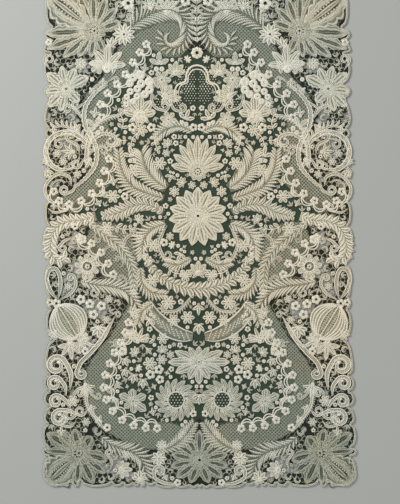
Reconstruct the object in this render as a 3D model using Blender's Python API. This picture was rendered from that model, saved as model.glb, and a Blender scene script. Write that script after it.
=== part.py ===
"""A lace scarf laid flat: net panels, a scalloped border of bars with its gaps cut through, and the
larger sprigs as plates on top. Metres, +Z up, with the origin under the middle of the whole scarf.

The tables hold millimetres. A place is (reach, y): reach is the distance from the scarf's long axis,
and y runs along it from the middle. The two halves mirror each other about an axis that leans a little.
"""

import math

import bmesh
import bpy
import numpy as np
from mathutils.geometry import tessellate_polygon

MM = 0.001
HALF_LENGTH = 499.0
AXIS_LEAN = 3.0  # how far the long axis leans aside at each end
WALL = 1.0  # thickness of net and border
SEAM = 0.3  # gap between neighbouring pieces
PLATE = 1.2  # thickness of a sprig
PLATE_BOTTOM = WALL + SEAM
PETAL_ROOM = 0.93  # a petal's share of the room between it and the next
BELLY_SHARE = 0.7  # where a petal is widest, from its root to its tip
CURVE_STEPS = 1  # straight stretches between two points of a line that parts panels
STEM_STEPS = 2  # the same for a stem
SHOULDER = math.radians(40)  # where a lobe's shoulder lies, from its notch (0) to its tip (90)

CELL_PITCH = 10.5  # from the middle of one gap between bars to the next
CELL_WOBBLE = 1.4
BAR = 1.9
EDGE_MARGIN = 2.6  # least width of cloth round the gaps at an outline
SPRIG_MARGIN = 0.6
MOST_CELLS_A_SIDE = 125

# Outer edge of a long side, from top to bottom: each lobe's tip, then the notch below it.
SIDE_START = (290, 421)
SIDE_LOBES = (  # tip y, tip reach, notch y, notch reach
    (409, 307, 395, 291),
    (377, 308, 370, 293),
    (337, 307, 309, 288),
    (295, 307, 279, 288),
    (243, 307, 220, 298),
    (210, 305, 202, 300),
    (177, 306, 143, 301),
    (127, 308, 120, 297),
    (103, 307, 75, 299),
    (51, 307, 25, 299),
    (-3, 310, -51, 295),
    (-73, 307, -84, 301),
    (-97, 305, -117, 299),
    (-129, 305, -141, 297),
    (-171, 306, -201, 290),
    (-253, 309, -273, 299),
    (-289, 311, -305, 299),
    (-321, 311, -336, 298),
    (-358, 311, -371, 303),
    (-393, 314, -417, 303),
    (-425, 315, -436, 302),
)
# Outer edge of a short end, from the corner to the axis, as depth from the middle of the scarf.
END_START = (257, 485)
END_LOBES = (  # tip reach, tip depth, notch reach, notch depth
    (246, 497, 239, 483),
    (210, 497, 176, 488),
    (166, 496, 153, 488),
    (147, 496, 134, 490),
    (127, 496, 120, 487),
    (114, 497, 108, 488),
    (99, 494, 90, 489),
    (68, 499, 50, 495),
    (36, 499, 21, 494),
    (12, 499, 5, 494),
)
TOP_END_SHARE = 0.966  # the top end is a little narrower
TOP_CORNER_OUTSIDE = ((301, 480), (303, 462), (302, 443), (298, 429))
TOP_CORNER_END = ((287, 495), (273, 498), (258, 495))
BOTTOM_CORNER_OUTSIDE = ((310, -444), (313, -460), (313, -479))
BOTTOM_CORNER_END = ((297, -495), (280, -495), (266, -492))

# Open stretches of the border, where the ground is bars alone: centre and half sizes.
OPEN_STRETCHES = (
    ((160, 440), (24, 34)), ((178, 378), (34, 26)), ((229, 345), (30, 18)), ((290, 357), (14, 16)),
    ((246, 250), (24, 26)), ((294, 240), (12, 14)), ((264, 176), (36, 36)), ((240, 122), (18, 22)),
    ((288, 108), (14, 14)), ((246, -8), (20, 30)), ((230, -58), (42, 34)), ((262, -95), (26, 36)),
    ((205, -140), (36, 34)), ((222, -212), (22, 18)), ((262, -232), (24, 20)), ((266, -310), (30, 62)),
    ((215, -380), (16, 16)), ((172, -450), (30, 40)), ((140, -472), (22, 18)), ((88, -450), (24, 34)),
    ((0, 440), (16, 50)), ((12, -368), (16, 14)),
)

# Lines that part the panels, from top to bottom.
TOP_CORNER = (127, 405)
BOTTOM_CORNER = (210, -361)
CURL_END = (20, 377)
UPPER_NET_END = (246, 49)
SIDE_NET_START = (212, 33)
LOWER_NET_START = (141, -127)
LOWER_NET_END = (30, -383)
FIELD_EDGE = (
    (0, 365), CURL_END, (25, 401), (33, 425), (53, 439), (77, 441), (101, 429), TOP_CORNER,
    (156, 381), (172, 353), (188, 325), (210, 303), (226, 279), (232, 247), (227, 215), (211, 183),
    (209, 155), (225, 125), (249, 101), (271, 83), (276, 63), UPPER_NET_END, SIDE_NET_START,
    (220, 9), (228, -15), (212, -39), (198, -63), (181, -87), (157, -105), LOWER_NET_START,
    (149, -147), (163, -171), (177, -195), (195, -217), (213, -241), (228, -271), (232, -303),
    (226, -333), BOTTOM_CORNER, (186, -385), (154, -403), (119, -417), (83, -421), (55, -405),
    LOWER_NET_END, (0, -359),
)
UPPER_CHAIN_LINE = (
    CURL_END, (38, 363), (64, 365), (86, 377), (102, 371), (116, 351), (132, 329), (148, 309),
    (166, 291), (180, 275), (182, 253), (179, 227), (169, 197), (163, 167), (165, 137), (179, 107),
    (197, 85), (220, 67), UPPER_NET_END,
)
SIDE_CHAIN_LINE = (
    SIDE_NET_START, (176, 31), (146, 17), (130, -7), (124, -39), (122, -73), (125, -107),
    (131, -121), LOWER_NET_START,
)
LOWER_CHAIN_LINE = (
    LOWER_NET_START, (129, -143), (131, -163), (137, -189), (149, -213), (161, -235), (172, -257),
    (180, -279), (182, -303), (176, -327), (164, -345), (146, -359), (122, -367), (98, -369),
    (74, -367), (50, -371), LOWER_NET_END,
)
TOP_SEAM = (TOP_CORNER, (205, 415), (295, 489))
BOTTOM_SEAM = (BOTTOM_CORNER, (241, -429), (306, -489))

# Blossoms: the centre, the radius between petals, and each petal's tip and half width.
BLOSSOMS = {
    "corner_blossom_top": ((205, 415), 22, (
        (297, 486, 34), (302, 410, 15), (301, 379, 12), (268, 362, 12), (238, 363, 11),
        (212, 362, 10), (186, 371, 10), (152, 433, 12), (159, 461, 11), (180, 483, 11),
        (207, 490, 11), (238, 490, 12),
    )),
    "corner_blossom_bottom": ((241, -429), 22, (
        (303, -488, 34), (308, -424, 9), (305, -389, 15), (281, -384, 13), (250, -380, 13),
        (215, -395, 15), (184, -443, 15), (188, -469, 12), (212, -490, 14), (245, -491, 10),
    )),
    "side_blossom": ((262, 299), 15, (
        (303, 293, 12), (298, 263, 12), (274, 254, 11), (236, 273, 12), (217, 324, 13),
        (243, 341, 11), (271, 345, 10), (300, 331, 12),
    )),
    "field_blossom": ((132, -325), 9, (
        (160, -312, 9), (134, -300, 9), (106, -313, 9), (106, -345, 9), (130, -350, 8),
        (150, -339, 7),
    )),
}
# Blossoms on the axis: y of the centre, the radius between petals, and half of the petals.
AXIS_BLOSSOMS = {
    "bottom_blossom": (-443, 24, (
        (0, -383, 11), (27, -393, 11), (45, -409, 11), (56, -431, 11), (57, -456, 11),
        (46, -478, 12), (19, -489, 11),
    )),
    "leaf_star": (-247, 17, (
        (0, -215, 7), (20, -217, 7), (48, -225, 9), (62, -247, 10), (47, -268, 10),
        (21, -281, 9), (0, -292, 9),
    )),
    "centre_rosette": (45, 28, (
        (0, 103, 12), (24, 96, 12), (43, 83, 12), (56, 62, 12), (58, 38, 12), (51, 14, 12),
        (36, -4, 12), (13, -14, 12),
    )),
    "centre_palmette": (134, 12, (
        (0, 206, 9), (19, 200, 9), (36, 187, 9), (48, 168, 9), (53, 147, 9),
    )),
}
# Feathered sprays: the stem, then rows of share along it and leaf length on its left and right.
SPRAYS = {
    "top_frond": (18, (
        (135, 418), (119, 433), (97, 447), (74, 456), (51, 457), (32, 446), (21, 427),
        (21, 406), (30, 389), (45, 381), (59, 384), (67, 396), (66, 408),
    ), ((0, 4, 6), (0.2, 15, 24), (0.45, 15, 18), (0.6, 10, 14), (0.75, 8, 7), (1, 4, 6))),
    "laurel": (10, (
        (204, 45), (228, 38), (252, 35), (274, 29), (288, 14), (295, -8), (292, -34),
    ), ((0, 5, 5), (0.3, 9, 9), (0.6, 8, 8), (1, 4, 4))),
    "mid_frond": (9, (
        (237, -85), (207, -92), (179, -95), (153, -102), (134, -117), (124, -133),
    ), ((0, 5, 5), (0.4, 16, 16), (0.7, 12, 14), (1, 4, 4))),
    "lower_frond": (10, (
        (196, -396), (182, -409), (161, -418), (139, -425), (121, -437), (110, -456), (106, -474),
    ), ((0, 3, 3), (0.3, 11, 13), (0.5, 12, 21), (0.7, 12, 21), (0.85, 12, 16), (1, 5, 5))),
    "garland": (8, (
        (68, 52), (96, 66), (126, 66), (158, 52), (190, 45),
    ), ((0, 5, 5), (0.4, 17, 17), (0.7, 15, 15), (1, 4, 4))),
}
FESTOON = (16, (
    (-112, -14), (-98, -52), (-66, -82), (-30, -97), (0, -101),
    (30, -97), (66, -82), (98, -52), (112, -14),
), ((0, 5, 5), (0.3, 12, 15), (0.5, 16, 20), (0.7, 12, 15), (1, 5, 5)))

# Chains of florets: their centres in order. Scallops lie between them on the inner side.
FLORET_RADIUS = 10.0
SCALLOP_RADIUS = 14.0
CHAIN_WAIST = 4.0
CHAINS = {
    "chain_upper": (
        (101, 388), (114, 372), (128, 352), (143, 328), (160, 308), (179, 290), (193, 268),
        (191, 242),
    ),
    "chain_mid": (
        (177, 159), (186, 135), (196, 111), (212, 90), (233, 75), (257, 68), (277, 75), (288, 94),
    ),
    "chain_lower": (
        (140, -168), (146, -188), (156, -208), (168, -228), (178, -250), (187, -273), (190, -298),
        (185, -322), (173, -345), (154, -363), (131, -374), (107, -379), (84, -380),
    ),
}
# Plain stems: the route and half of the width at its middle.
STEMS = {
    "stem_upper": (4.5, (
        (180, 308), (205, 290), (224, 262), (225, 229), (211, 201), (202, 177), (204, 149),
        (220, 125), (246, 102),
    )),
    "stem_lower": (5.0, (
        (168, -156), (182, -183), (198, -207), (218, -230), (236, -248), (244, -266), (238, -281),
        (226, -277),
    )),
    "lattice_leaf": (17.0, ((12, -196), (38, -192), (68, -176), (92, -152), (104, -126))),
}
ARCH = (4.0, (
    (-40, 268), (-45, 288), (-40, 306), (-24, 314), (-21, 330), (-13, 342), (0, 346),
    (13, 342), (21, 330), (24, 314), (40, 306), (45, 288), (40, 268),
))
# Rings: centre, half sizes, lobes round the outside, lobe height, half sizes of the opening.
RINGS = {
    "medallion": ((264, 176), (35, 35), 13, 3.0, (25, 25)),
    "loop": ((288, -90), (12, 29), 4, 0.0, (6, 21)),
    "bulb": ((261, -170), (37, 40), 8, 1.5, None),
    "wreath": ((46, -323), (36, 36), 14, 6.5, (15, 15)),
}
ROUNDEL = ((0, 371), (12, 12), 8, 2.0, None)
CURL_ROWS = slice(15, 19)  # the lobes of the side edge that the curls fill
CURL_INSET = 5.0
CURL_INSIDE = ((281, -217), (258, -240), (261, -268), (254, -296), (262, -322), (258, -350), (272, -374))
CURL_EYES = ((288, -253), (289, -290), (289, -322), (290, -356))
CURL_EYE_RADIUS = 6.0

CREAM = (0.72, 0.66, 0.52)
NET_GREEN = (0.10, 0.15, 0.11)
NET_GREY = (0.36, 0.40, 0.33)


def smooth(points, steps=CURVE_STEPS):
    """A smooth curve through the points, with this many straight stretches between neighbours."""
    knots = np.array(points, float)
    knots = np.vstack([2 * knots[0] - knots[1], knots, 2 * knots[-1] - knots[-2]])
    curve = []
    for before, start, end, after in zip(knots, knots[1:], knots[2:], knots[3:]):
        for step in range(steps):
            t = step / steps
            bend = 2 * before - 5 * start + 4 * end - after
            twist = 3 * start - before - 3 * end + after
            curve.append(start + 0.5 * ((end - before) * t + bend * t**2 + twist * t**3))
    curve.append(knots[-2])
    return np.array(curve)


def left_of(path):
    """Unit vectors to the left of an open path, one for each point."""
    along = np.gradient(path, axis=0)
    along /= np.linalg.norm(along, axis=1)[:, None]
    return np.column_stack([-along[:, 1], along[:, 0]])


def shifted(path, distance):
    return path + left_of(path) * distance


def at_share(path, shares):
    """Points at these shares of a path's length."""
    lengths = np.concatenate([[0], np.cumsum(np.linalg.norm(np.diff(path, axis=0), axis=1))])
    wanted = np.array(shares) * lengths[-1]
    return np.column_stack([np.interp(wanted, lengths, path[:, k]) for k in (0, 1)])


def round_lobes(start, lobes, across):
    """An edge of round lobes: the shoulders, tip and following notch of each. `across` is the
    column of a place that runs along the edge."""
    out = 1 - across
    notch = np.array(start, float)
    points = [notch]
    for tip, following in lobes:
        shoulders = []
        for corner in (notch, following):
            shoulder = np.empty(2)
            shoulder[across] = tip[across] + (corner[across] - tip[across]) * math.cos(SHOULDER)
            shoulder[out] = corner[out] + (tip[out] - corner[out]) * math.sin(SHOULDER)
            shoulders.append(shoulder)
        points += [shoulders[0], tip, shoulders[1], following]
        notch = following
    return np.array(points)


def side_edge(rows=SIDE_LOBES, start=SIDE_START):
    lobes = [(np.array((r, y), float), np.array((nr, ny), float)) for y, r, ny, nr in rows]
    return round_lobes(start, lobes, across=1)


def end_edge(sign, share):
    """The edge of the top (1) or bottom (-1) end, from the corner to the axis."""
    turn = np.array((share, sign), float)
    lobes = [(np.array((r, d)) * turn, np.array((nr, nd)) * turn) for r, d, nr, nd in END_LOBES]
    edge = round_lobes(np.array(END_START) * turn, lobes, across=0)
    return np.vstack([edge, [(0, sign * HALF_LENGTH)]])


def on_side(side, points):
    """Places given as reach and y, as x and y on the left (-1) or right (1) half."""
    points = np.array(points, float)
    x = side * points[:, 0] - AXIS_LEAN * points[:, 1] / HALF_LENGTH - MIDDLE
    return np.column_stack([x, points[:, 1]])


def both_halves(half):
    """One outline from a half outline that starts and ends on the axis."""
    right = on_side(1, half)
    left = on_side(-1, half)[::-1]
    return np.vstack([right, left[1:-1]])


def inside(points, outline):
    """Whether each point is in the outline, by counting the edges to its right."""
    x, y = np.array(points)[:, :, None].transpose(1, 0, 2)
    a, b = outline.T
    c, d = np.roll(outline, -1, axis=0).T
    spans = (b > y) != (d > y)
    crossing = a + (y - b) * (c - a) / np.where(d == b, 1, d - b)
    return (spans & (x < crossing)).sum(axis=1) % 2 == 1


def clearance(points, outline):
    """The least distance from any of the points to the outline's edges."""
    start = outline[None]
    edge = np.roll(outline, -1, axis=0)[None] - start
    offset = np.array(points)[:, None] - start
    share = (offset * edge).sum(axis=2) / np.maximum((edge * edge).sum(axis=2), 1e-9)
    nearest = offset - np.clip(share, 0, 1)[..., None] * edge
    return np.linalg.norm(nearest, axis=2).min()


def blossom(centre, waist, petals):
    """The outline of a blossom, round its centre. Petals that would cross are narrowed."""
    centre = np.array(centre, float)
    rows = []
    for reach, y, half_width in petals:
        to_tip = np.array((reach, y)) - centre
        rows.append((math.atan2(to_tip[1], to_tip[0]), np.linalg.norm(to_tip), half_width))
    rows.sort()
    outline = []
    for i, (angle, length, half_width) in enumerate(rows):
        earlier, later = rows[i - 1], rows[(i + 1) % len(rows)]
        before = (angle - earlier[0]) % math.tau * half_width / (half_width + earlier[2])
        after = (later[0] - angle) % math.tau * half_width / (half_width + later[2])
        belly = BELLY_SHARE * length
        turn = math.atan2(half_width, belly)
        outline.append((angle - min(turn, PETAL_ROOM * before), belly))
        outline.append((angle, length))
        outline.append((angle + min(turn, PETAL_ROOM * after), belly))
        outline.append((angle + after, waist))
    return centre + [(r * math.cos(a), r * math.sin(a)) for a, r in outline]


def spray(count, stem, leaves, waist=2.6, lean=0.45):
    """The outline of a feathered spray: pointed leaves along both sides of a curved stem."""
    path = smooth(stem, 8)
    shares, lefts, rights = np.array(leaves, float).T
    sides = []
    for sign, lengths in ((1, lefts), (-1, rights)):
        side = []
        for i in range(count):
            for part, out, forward in ((0.0, 0.0, 0.0), (0.7, 1.0, lean)):
                share = (i + part) / count
                spot, ahead = at_share(path, (share, min(1, share + 0.01)))
                along = ahead - spot
                along /= np.linalg.norm(along)
                away = sign * np.array((-along[1], along[0]))
                length = np.interp(share, shares, lengths)
                reach = waist + out * (length - waist)
                side.append(spot + away * reach + along * forward * length)
        sides.append(side)
    tip = path[-1] + (path[-1] - path[-2]) / np.linalg.norm(path[-1] - path[-2]) * rights[-1]
    return np.array(sides[0] + [tip] + sides[1][::-1])


def chain(centres):
    """The outline of a braid of florets, round on the left, with scallops between them on the right."""
    path = smooth(centres, 6)
    count = len(centres) - 1
    left, right = [], []
    for i in range(count + 1):
        for part in (-0.3, 0.0, 0.3):
            swell = math.sqrt(1 - part**2 / 0.25)
            share = (i + part) / count
            left.append((share, CHAIN_WAIST + (FLORET_RADIUS - CHAIN_WAIST) * swell))
            if i < count:
                right.append((share + 0.5 / count, -CHAIN_WAIST - (SCALLOP_RADIUS - CHAIN_WAIST) * swell))
        right.append(((i + 1) / count, -CHAIN_WAIST))
    outline = []
    for share, away in left + right[::-1]:
        if not -0.02 <= share <= 1.02:
            continue
        near = min(max(share, 0.002), 0.998)
        before, after = at_share(path, (near - 0.002, near + 0.002))
        along = (after - before) / np.linalg.norm(after - before)
        outline.append((before + after) / 2 + np.array((-along[1], along[0])) * away)
    return np.array(outline)


def stem(half_width, route):
    """The outline of a stem that is widest in the middle and blunt at its ends."""
    path = smooth(route, STEM_STEPS)
    shares = np.linspace(0, 1, len(path))
    widths = half_width * (0.25 + 0.75 * np.sqrt(np.sin(np.pi * np.clip(shares, 0.02, 0.98))))
    away = left_of(path) * widths[:, None]
    return np.vstack([path + away, (path - away)[::-1]])


def ring(centre, half_sizes, lobes, height, opening):
    """A lobed oval and the outlines of its openings."""
    steps = max(20, 3 * lobes)
    turns = np.arange(steps) * math.tau / steps
    swell = np.abs(np.sin(lobes * turns / 2)) if lobes else 0 * turns
    outside = [
        (centre[0] + (half_sizes[0] + height * s) * math.cos(t),
         centre[1] + (half_sizes[1] + height * s) * math.sin(t))
        for t, s in zip(turns, swell)
    ]
    if opening is None:
        return np.array(outside), []
    return np.array(outside), [oval(centre, opening, 10)]


def oval(centre, half_sizes, steps):
    turns = np.arange(steps) * math.tau / steps
    return np.array([
        (centre[0] + half_sizes[0] * math.cos(t), centre[1] + half_sizes[1] * math.sin(t))
        for t in turns
    ])


def curls():
    """The row of edge curls: lobes outside, a wavy line inside, and an eye in each curl."""
    start = np.array(SIDE_LOBES[CURL_ROWS.start - 1][3:1:-1], float) + (0, -12)
    outside = side_edge(SIDE_LOBES[CURL_ROWS], start) - (CURL_INSET, 0)
    within = smooth(CURL_INSIDE)[::-1]
    eyes = [oval(eye, (CURL_EYE_RADIUS, CURL_EYE_RADIUS), 8) for eye in CURL_EYES]
    return np.vstack([outside, within]), eyes


def wobbled(x, y):
    """A lattice corner moved by an amount that depends only on where it is."""
    first = math.sin(x * 12.9898 + y * 78.233) * 43758.5453
    second = math.sin(x * 39.3468 + y * 11.135) * 24634.6345
    return x + CELL_WOBBLE * (2 * (first % 1) - 1), y + CELL_WOBBLE * (2 * (second % 1) - 1)


def without_flattest(corners):
    """The outline with its flattest corner left out, since a gap between bars is rarely regular."""
    before, after = np.roll(corners, 1, axis=0), np.roll(corners, -1, axis=0)
    (a, b), (c, d) = (corners - before).T, (after - corners).T
    return np.delete(corners, np.argmin(np.abs(a * d - b * c)), axis=0)


def depth_in_stretch(cell):
    """0 at the middle of the nearest open stretch, and 1 at its rim."""
    x, y = cell.mean(axis=0)
    return min(math.hypot((x - cx) / rx, (y - cy) / ry) for (cx, cy), (rx, ry) in OPEN_STRETCHES)


def lattice():
    """The gaps between bars in the open stretches of one half, as six-sided outlines."""
    row_height = CELL_PITCH * math.sqrt(3) / 2
    radius = CELL_PITCH / math.sqrt(3)
    rows = int(HALF_LENGTH / row_height)
    cells = []
    for row in range(-rows, rows + 1):
        for column in range(int(330 / CELL_PITCH)):
            x = (column + 0.5 * (row % 2)) * CELL_PITCH
            y = row * row_height
            corners = []
            for k in range(6):
                angle = math.pi / 6 + k * math.pi / 3
                corner_x = round(x + radius * math.cos(angle), 3)
                corner_y = round(y + radius * math.sin(angle), 3)
                corners.append(wobbled(corner_x, corner_y))
            corners = without_flattest(np.array(corners))
            middle = corners.mean(axis=0)
            cells.append(middle + (corners - middle) * (1 - BAR / CELL_PITCH))
    return [cell for cell in cells if depth_in_stretch(cell) < 1]


def material(name, colour, roughness):
    made = bpy.data.materials.new(name)
    made.use_nodes = True
    shader = made.node_tree.nodes["Principled BSDF"]
    shader.inputs["Base Color"].default_value = (*colour, 1)
    shader.inputs["Roughness"].default_value = roughness
    shader.inputs["Metallic"].default_value = 0.0
    made.diffuse_color = (*colour, 1)
    return made


def sheet(name, outline, openings, bottom, thickness, surface):
    """A flat solid: an outline filled round its openings and raised to its thickness."""
    loops = [outline, *openings]
    corners = [tuple(point) for loop in loops for point in loop]
    flat = [[(x, y, 0) for x, y in loop] for loop in loops]
    mesh = bpy.data.meshes.new(name)
    shape = bmesh.new()
    verts = [shape.verts.new((x * MM, y * MM, bottom * MM)) for x, y in corners]
    for triangle in tessellate_polygon(flat):
        shape.faces.new([verts[i] for i in triangle])
    bmesh.ops.recalc_face_normals(shape, faces=shape.faces)
    if shape.faces[:][0].normal.z > 0:
        bmesh.ops.reverse_faces(shape, faces=shape.faces)
    raised = bmesh.ops.extrude_face_region(shape, geom=shape.faces[:], use_keep_orig=True)
    top = [item for item in raised["geom"] if isinstance(item, bmesh.types.BMVert)]
    bmesh.ops.translate(shape, verts=top, vec=(0, 0, thickness * MM))
    bmesh.ops.recalc_face_normals(shape, faces=shape.faces)
    shape.to_mesh(mesh)
    shape.free()
    mesh.materials.append(surface)
    made = bpy.data.objects.new(name, mesh)
    bpy.context.scene.collection.objects.link(made)
    return made


def sprig_outlines():
    """Every sprig's name, side (0 on the axis), outline and openings, as reach and y."""
    sprigs = []
    for side in (-1, 1):
        ending = "_left" if side < 0 else "_right"
        for name, (centre, waist, petals) in BLOSSOMS.items():
            sprigs.append((name + ending, side, blossom(centre, waist, petals), []))
        for name, (count, route, leaves) in SPRAYS.items():
            sprigs.append((name + ending, side, spray(count, route, leaves), []))
        for name, centres in CHAINS.items():
            sprigs.append((name + ending, side, chain(centres), []))
        for name, (half_width, route) in STEMS.items():
            sprigs.append((name + ending, side, stem(half_width, route), []))
        for name, sizes in RINGS.items():
            sprigs.append((name + ending, side, *ring(*sizes)))
        sprigs.append(("curls" + ending, side, *curls()))
    for name, (y, waist, petals) in AXIS_BLOSSOMS.items():
        mirrored = [(-r, py, w) for r, py, w in petals if r > 0]
        sprigs.append((name, 0, blossom((0, y), waist, [*petals, *mirrored]), []))
    sprigs.append(("festoon", 0, spray(*FESTOON), []))
    sprigs.append(("arch", 0, stem(*ARCH), []))
    sprigs.append(("roundel", 0, *ring(*ROUNDEL)))
    return sprigs


def field_lines():
    """The lines that part the panels, as smooth curves cut at the corners they share."""
    whole = smooth(FIELD_EDGE)
    marks = {place: FIELD_EDGE.index(place) * CURVE_STEPS for place in FIELD_EDGE}

    def between(start, end):
        return whole[marks[start]:marks[end] + 1]

    return between, [smooth(line) for line in (UPPER_CHAIN_LINE, SIDE_CHAIN_LINE, LOWER_CHAIN_LINE)]


def net_panels():
    """Half outlines of the centre ground, and outlines of the three net bands of a half."""
    between, (upper, side, lower) = field_lines()
    half = SEAM / 2
    start, end = FIELD_EDGE[0], FIELD_EDGE[-1]
    centre = np.vstack([
        shifted(between(start, CURL_END), -half),
        shifted(upper, -half)[1:],
        shifted(between(UPPER_NET_END, SIDE_NET_START), -half)[1:-1],
        shifted(side, -half),
        shifted(lower, -half)[1:],
        shifted(between(LOWER_NET_END, end), -half)[1:],
    ])
    centre[[0, -1], 0] = 0
    bands = {}
    for name, line, first, last in (
        ("net_upper", upper, CURL_END, UPPER_NET_END),
        ("net_side", side, SIDE_NET_START, LOWER_NET_START),
        ("net_lower", lower, LOWER_NET_START, LOWER_NET_END),
    ):
        outer = between(first, last)
        bands[name] = np.vstack([
            band_end(outer[0], outer[1], line[1]),
            shifted(outer, -half)[1:-1],
            band_end(outer[-1], outer[-2], line[-2]),
            shifted(line, half)[1:-1][::-1],
        ])
    return centre, bands


def band_end(corner, *neighbours):
    """The pointed end of a band, half a seam inside both of the lines that meet at the corner."""
    first, second = ((place - corner) / np.linalg.norm(place - corner) for place in neighbours)
    inwards = (first + second) / np.linalg.norm(first + second)
    return corner + inwards * SEAM / np.linalg.norm(first - second)


def border_panels():
    """The outline of a side border, and half outlines of the top and bottom borders."""
    between, _ = field_lines()
    half = SEAM / 2
    top_seam, bottom_seam = smooth(TOP_SEAM), smooth(BOTTOM_SEAM)
    side = np.vstack([
        TOP_CORNER_OUTSIDE,
        side_edge(),
        BOTTOM_CORNER_OUTSIDE,
        shifted(bottom_seam, half)[::-1],
        shifted(between(TOP_CORNER, BOTTOM_CORNER), half)[1:-1][::-1],
        shifted(top_seam, -half),
    ])
    top = np.vstack([
        end_edge(1, TOP_END_SHARE)[::-1],
        TOP_CORNER_END[::-1],
        shifted(top_seam, half)[::-1],
        shifted(between(FIELD_EDGE[0], TOP_CORNER), half)[:-1][::-1],
    ])
    top[-1, 0] = 0
    bottom = np.vstack([
        shifted(between(BOTTOM_CORNER, FIELD_EDGE[-1]), half)[1:][::-1],
        shifted(bottom_seam, -half),
        BOTTOM_CORNER_END,
        end_edge(-1, 1.0),
    ])
    bottom[0, 0] = 0
    return side, top, bottom


def cut_cells(outline, sprigs, cells):
    """The gaps that fit in a border outline and clear of every sprig."""
    fitting = []
    for cell in cells:
        if not inside(cell, outline).all() or clearance(cell, outline) < EDGE_MARGIN:
            continue
        if cell[:, 0].min() < BAR:
            continue
        middle = cell.mean(axis=0)[None]
        covered = False
        for _, _, plate, openings in sprigs:
            if np.abs(plate - middle).max(axis=1).min() > 60:
                continue
            on_plate = inside(cell, plate)
            for opening in openings:
                on_plate &= ~inside(cell, opening)
            edges = [plate, *openings]
            if on_plate.any() or min(clearance(cell, edge) for edge in edges) < SPRIG_MARGIN:
                covered = True
                break
        if not covered:
            fitting.append(cell)
    return fitting


def build():
    for thing in list(bpy.data.objects):
        bpy.data.objects.remove(thing)
    cream = material("cream toile", CREAM, 0.85)
    border_cream = material("cream bars", tuple(0.92 * value for value in CREAM), 0.88)
    green = material("fine ground", NET_GREEN, 0.9)
    grey = material("diamond net", NET_GREY, 0.9)

    sprigs = sprig_outlines()
    near_half = [sprig for sprig in sprigs if sprig[1] >= 0]
    side, top, bottom = border_panels()
    centre, bands = net_panels()
    cells = lattice()

    sheet("centre_ground", both_halves(centre), [], 0, WALL, green)
    gaps = {name: cut_cells(outline, near_half, cells)
            for name, outline in (("side", side), ("top", top), ("bottom", bottom))}
    depths = sorted(depth_in_stretch(cell) for found in gaps.values() for cell in found)
    deepest = depths[min(MOST_CELLS_A_SIDE, len(depths)) - 1]
    for name, found in gaps.items():
        gaps[name] = [cell for cell in found if depth_in_stretch(cell) <= deepest]
    for name, half in (("border_top", top), ("border_bottom", bottom)):
        key = name.split("_")[1]
        holes = [on_side(s, cell) for s in (-1, 1) for cell in gaps[key]]
        sheet(name, both_halves(half), holes, 0, WALL, border_cream)
    for s, ending in ((-1, "_left"), (1, "_right")):
        holes = [on_side(s, cell) for cell in gaps["side"]]
        sheet("border" + ending, on_side(s, side), holes, 0, WALL, border_cream)
        for name, outline in bands.items():
            sheet(name + ending, on_side(s, outline), [], 0, WALL, grey)
    for name, s, outline, openings in sprigs:
        s = s or 1
        holes = [on_side(s, opening) for opening in openings]
        sheet(name, on_side(s, outline), holes, PLATE_BOTTOM, PLATE, cream)
    print("gaps cut on each side:", {name: len(found) for name, found in gaps.items()})


def middle_of_box():
    """How far the leaning axis moves the middle of the box."""
    edge = np.vstack([side_edge(), BOTTOM_CORNER_OUTSIDE, TOP_CORNER_OUTSIDE])
    lean = -AXIS_LEAN * edge[:, 1] / HALF_LENGTH
    return ((edge[:, 0] + lean).max() + (lean - edge[:, 0]).min()) / 2


MIDDLE = middle_of_box()
build()
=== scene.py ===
# %% [markdown]
# # A lace scarf, laid flat
# Mixed lace is not woven in one go. A maker works each flower and leaf on its own, lays the sprigs face down,
# and joins them: with fine net in the middle, with a coarser diamond net round it, and with little bars of
# thread towards the edge. This lesson dresses a plain solid of such a scarf in that order, from the ground up.
# The solid's panels and sprigs give the places. The fine work is added here.

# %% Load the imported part
import math

import bmesh
import bpy
import numpy as np
from mathutils import Matrix


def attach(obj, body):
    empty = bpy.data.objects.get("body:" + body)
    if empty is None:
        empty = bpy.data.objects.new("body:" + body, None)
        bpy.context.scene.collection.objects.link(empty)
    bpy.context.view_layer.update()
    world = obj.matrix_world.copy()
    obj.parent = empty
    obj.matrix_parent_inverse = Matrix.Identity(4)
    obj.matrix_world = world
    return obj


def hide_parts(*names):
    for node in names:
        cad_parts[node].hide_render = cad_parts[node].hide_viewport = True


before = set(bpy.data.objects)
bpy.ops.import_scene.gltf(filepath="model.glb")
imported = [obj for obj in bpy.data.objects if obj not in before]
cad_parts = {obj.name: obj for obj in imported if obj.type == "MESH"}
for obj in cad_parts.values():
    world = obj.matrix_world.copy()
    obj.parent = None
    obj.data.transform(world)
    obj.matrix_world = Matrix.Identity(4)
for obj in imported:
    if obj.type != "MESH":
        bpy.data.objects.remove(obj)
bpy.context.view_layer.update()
print("nodes of the plain solid:", len(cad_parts))

# %% [markdown]
# ## The plan
# The two halves of the scarf mirror each other about its long axis. So every place is written once, as
# millimetres from the axis (the reach) and along it (y). The axis leans a little, as hand-made lace does.

# %% Sizes shared with the solid
MM = 0.001
HALF_LENGTH = 499.0
AXIS_LEAN = 3.0  # how far each end of the axis lies to one side
MIDDLE = 2.555  # the leaning axis moves the middle of the box by this much
GROUND = 0.6  # thickness of the fine ground
WEB_BASE, WEB_TOP = 0.3, 1.3  # underside and top of the bars
NET_TOP = 1.0
SPRIG_BASE, SPRIG_HEIGHT = 0.9, 1.5  # where a sprig starts, and how far a thick cord stands over that
BOTH = ((-1, "_left"), (1, "_right"))
AXIS = ((1, ""),)


def on_side(side, places):
    """Millimetres of reach and y (and height) as metres on the left (-1) or right (1) half."""
    out = np.array(places, float)
    out[:, 0] = side * out[:, 0] - AXIS_LEAN * out[:, 1] / HALF_LENGTH - MIDDLE
    return out * MM


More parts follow.
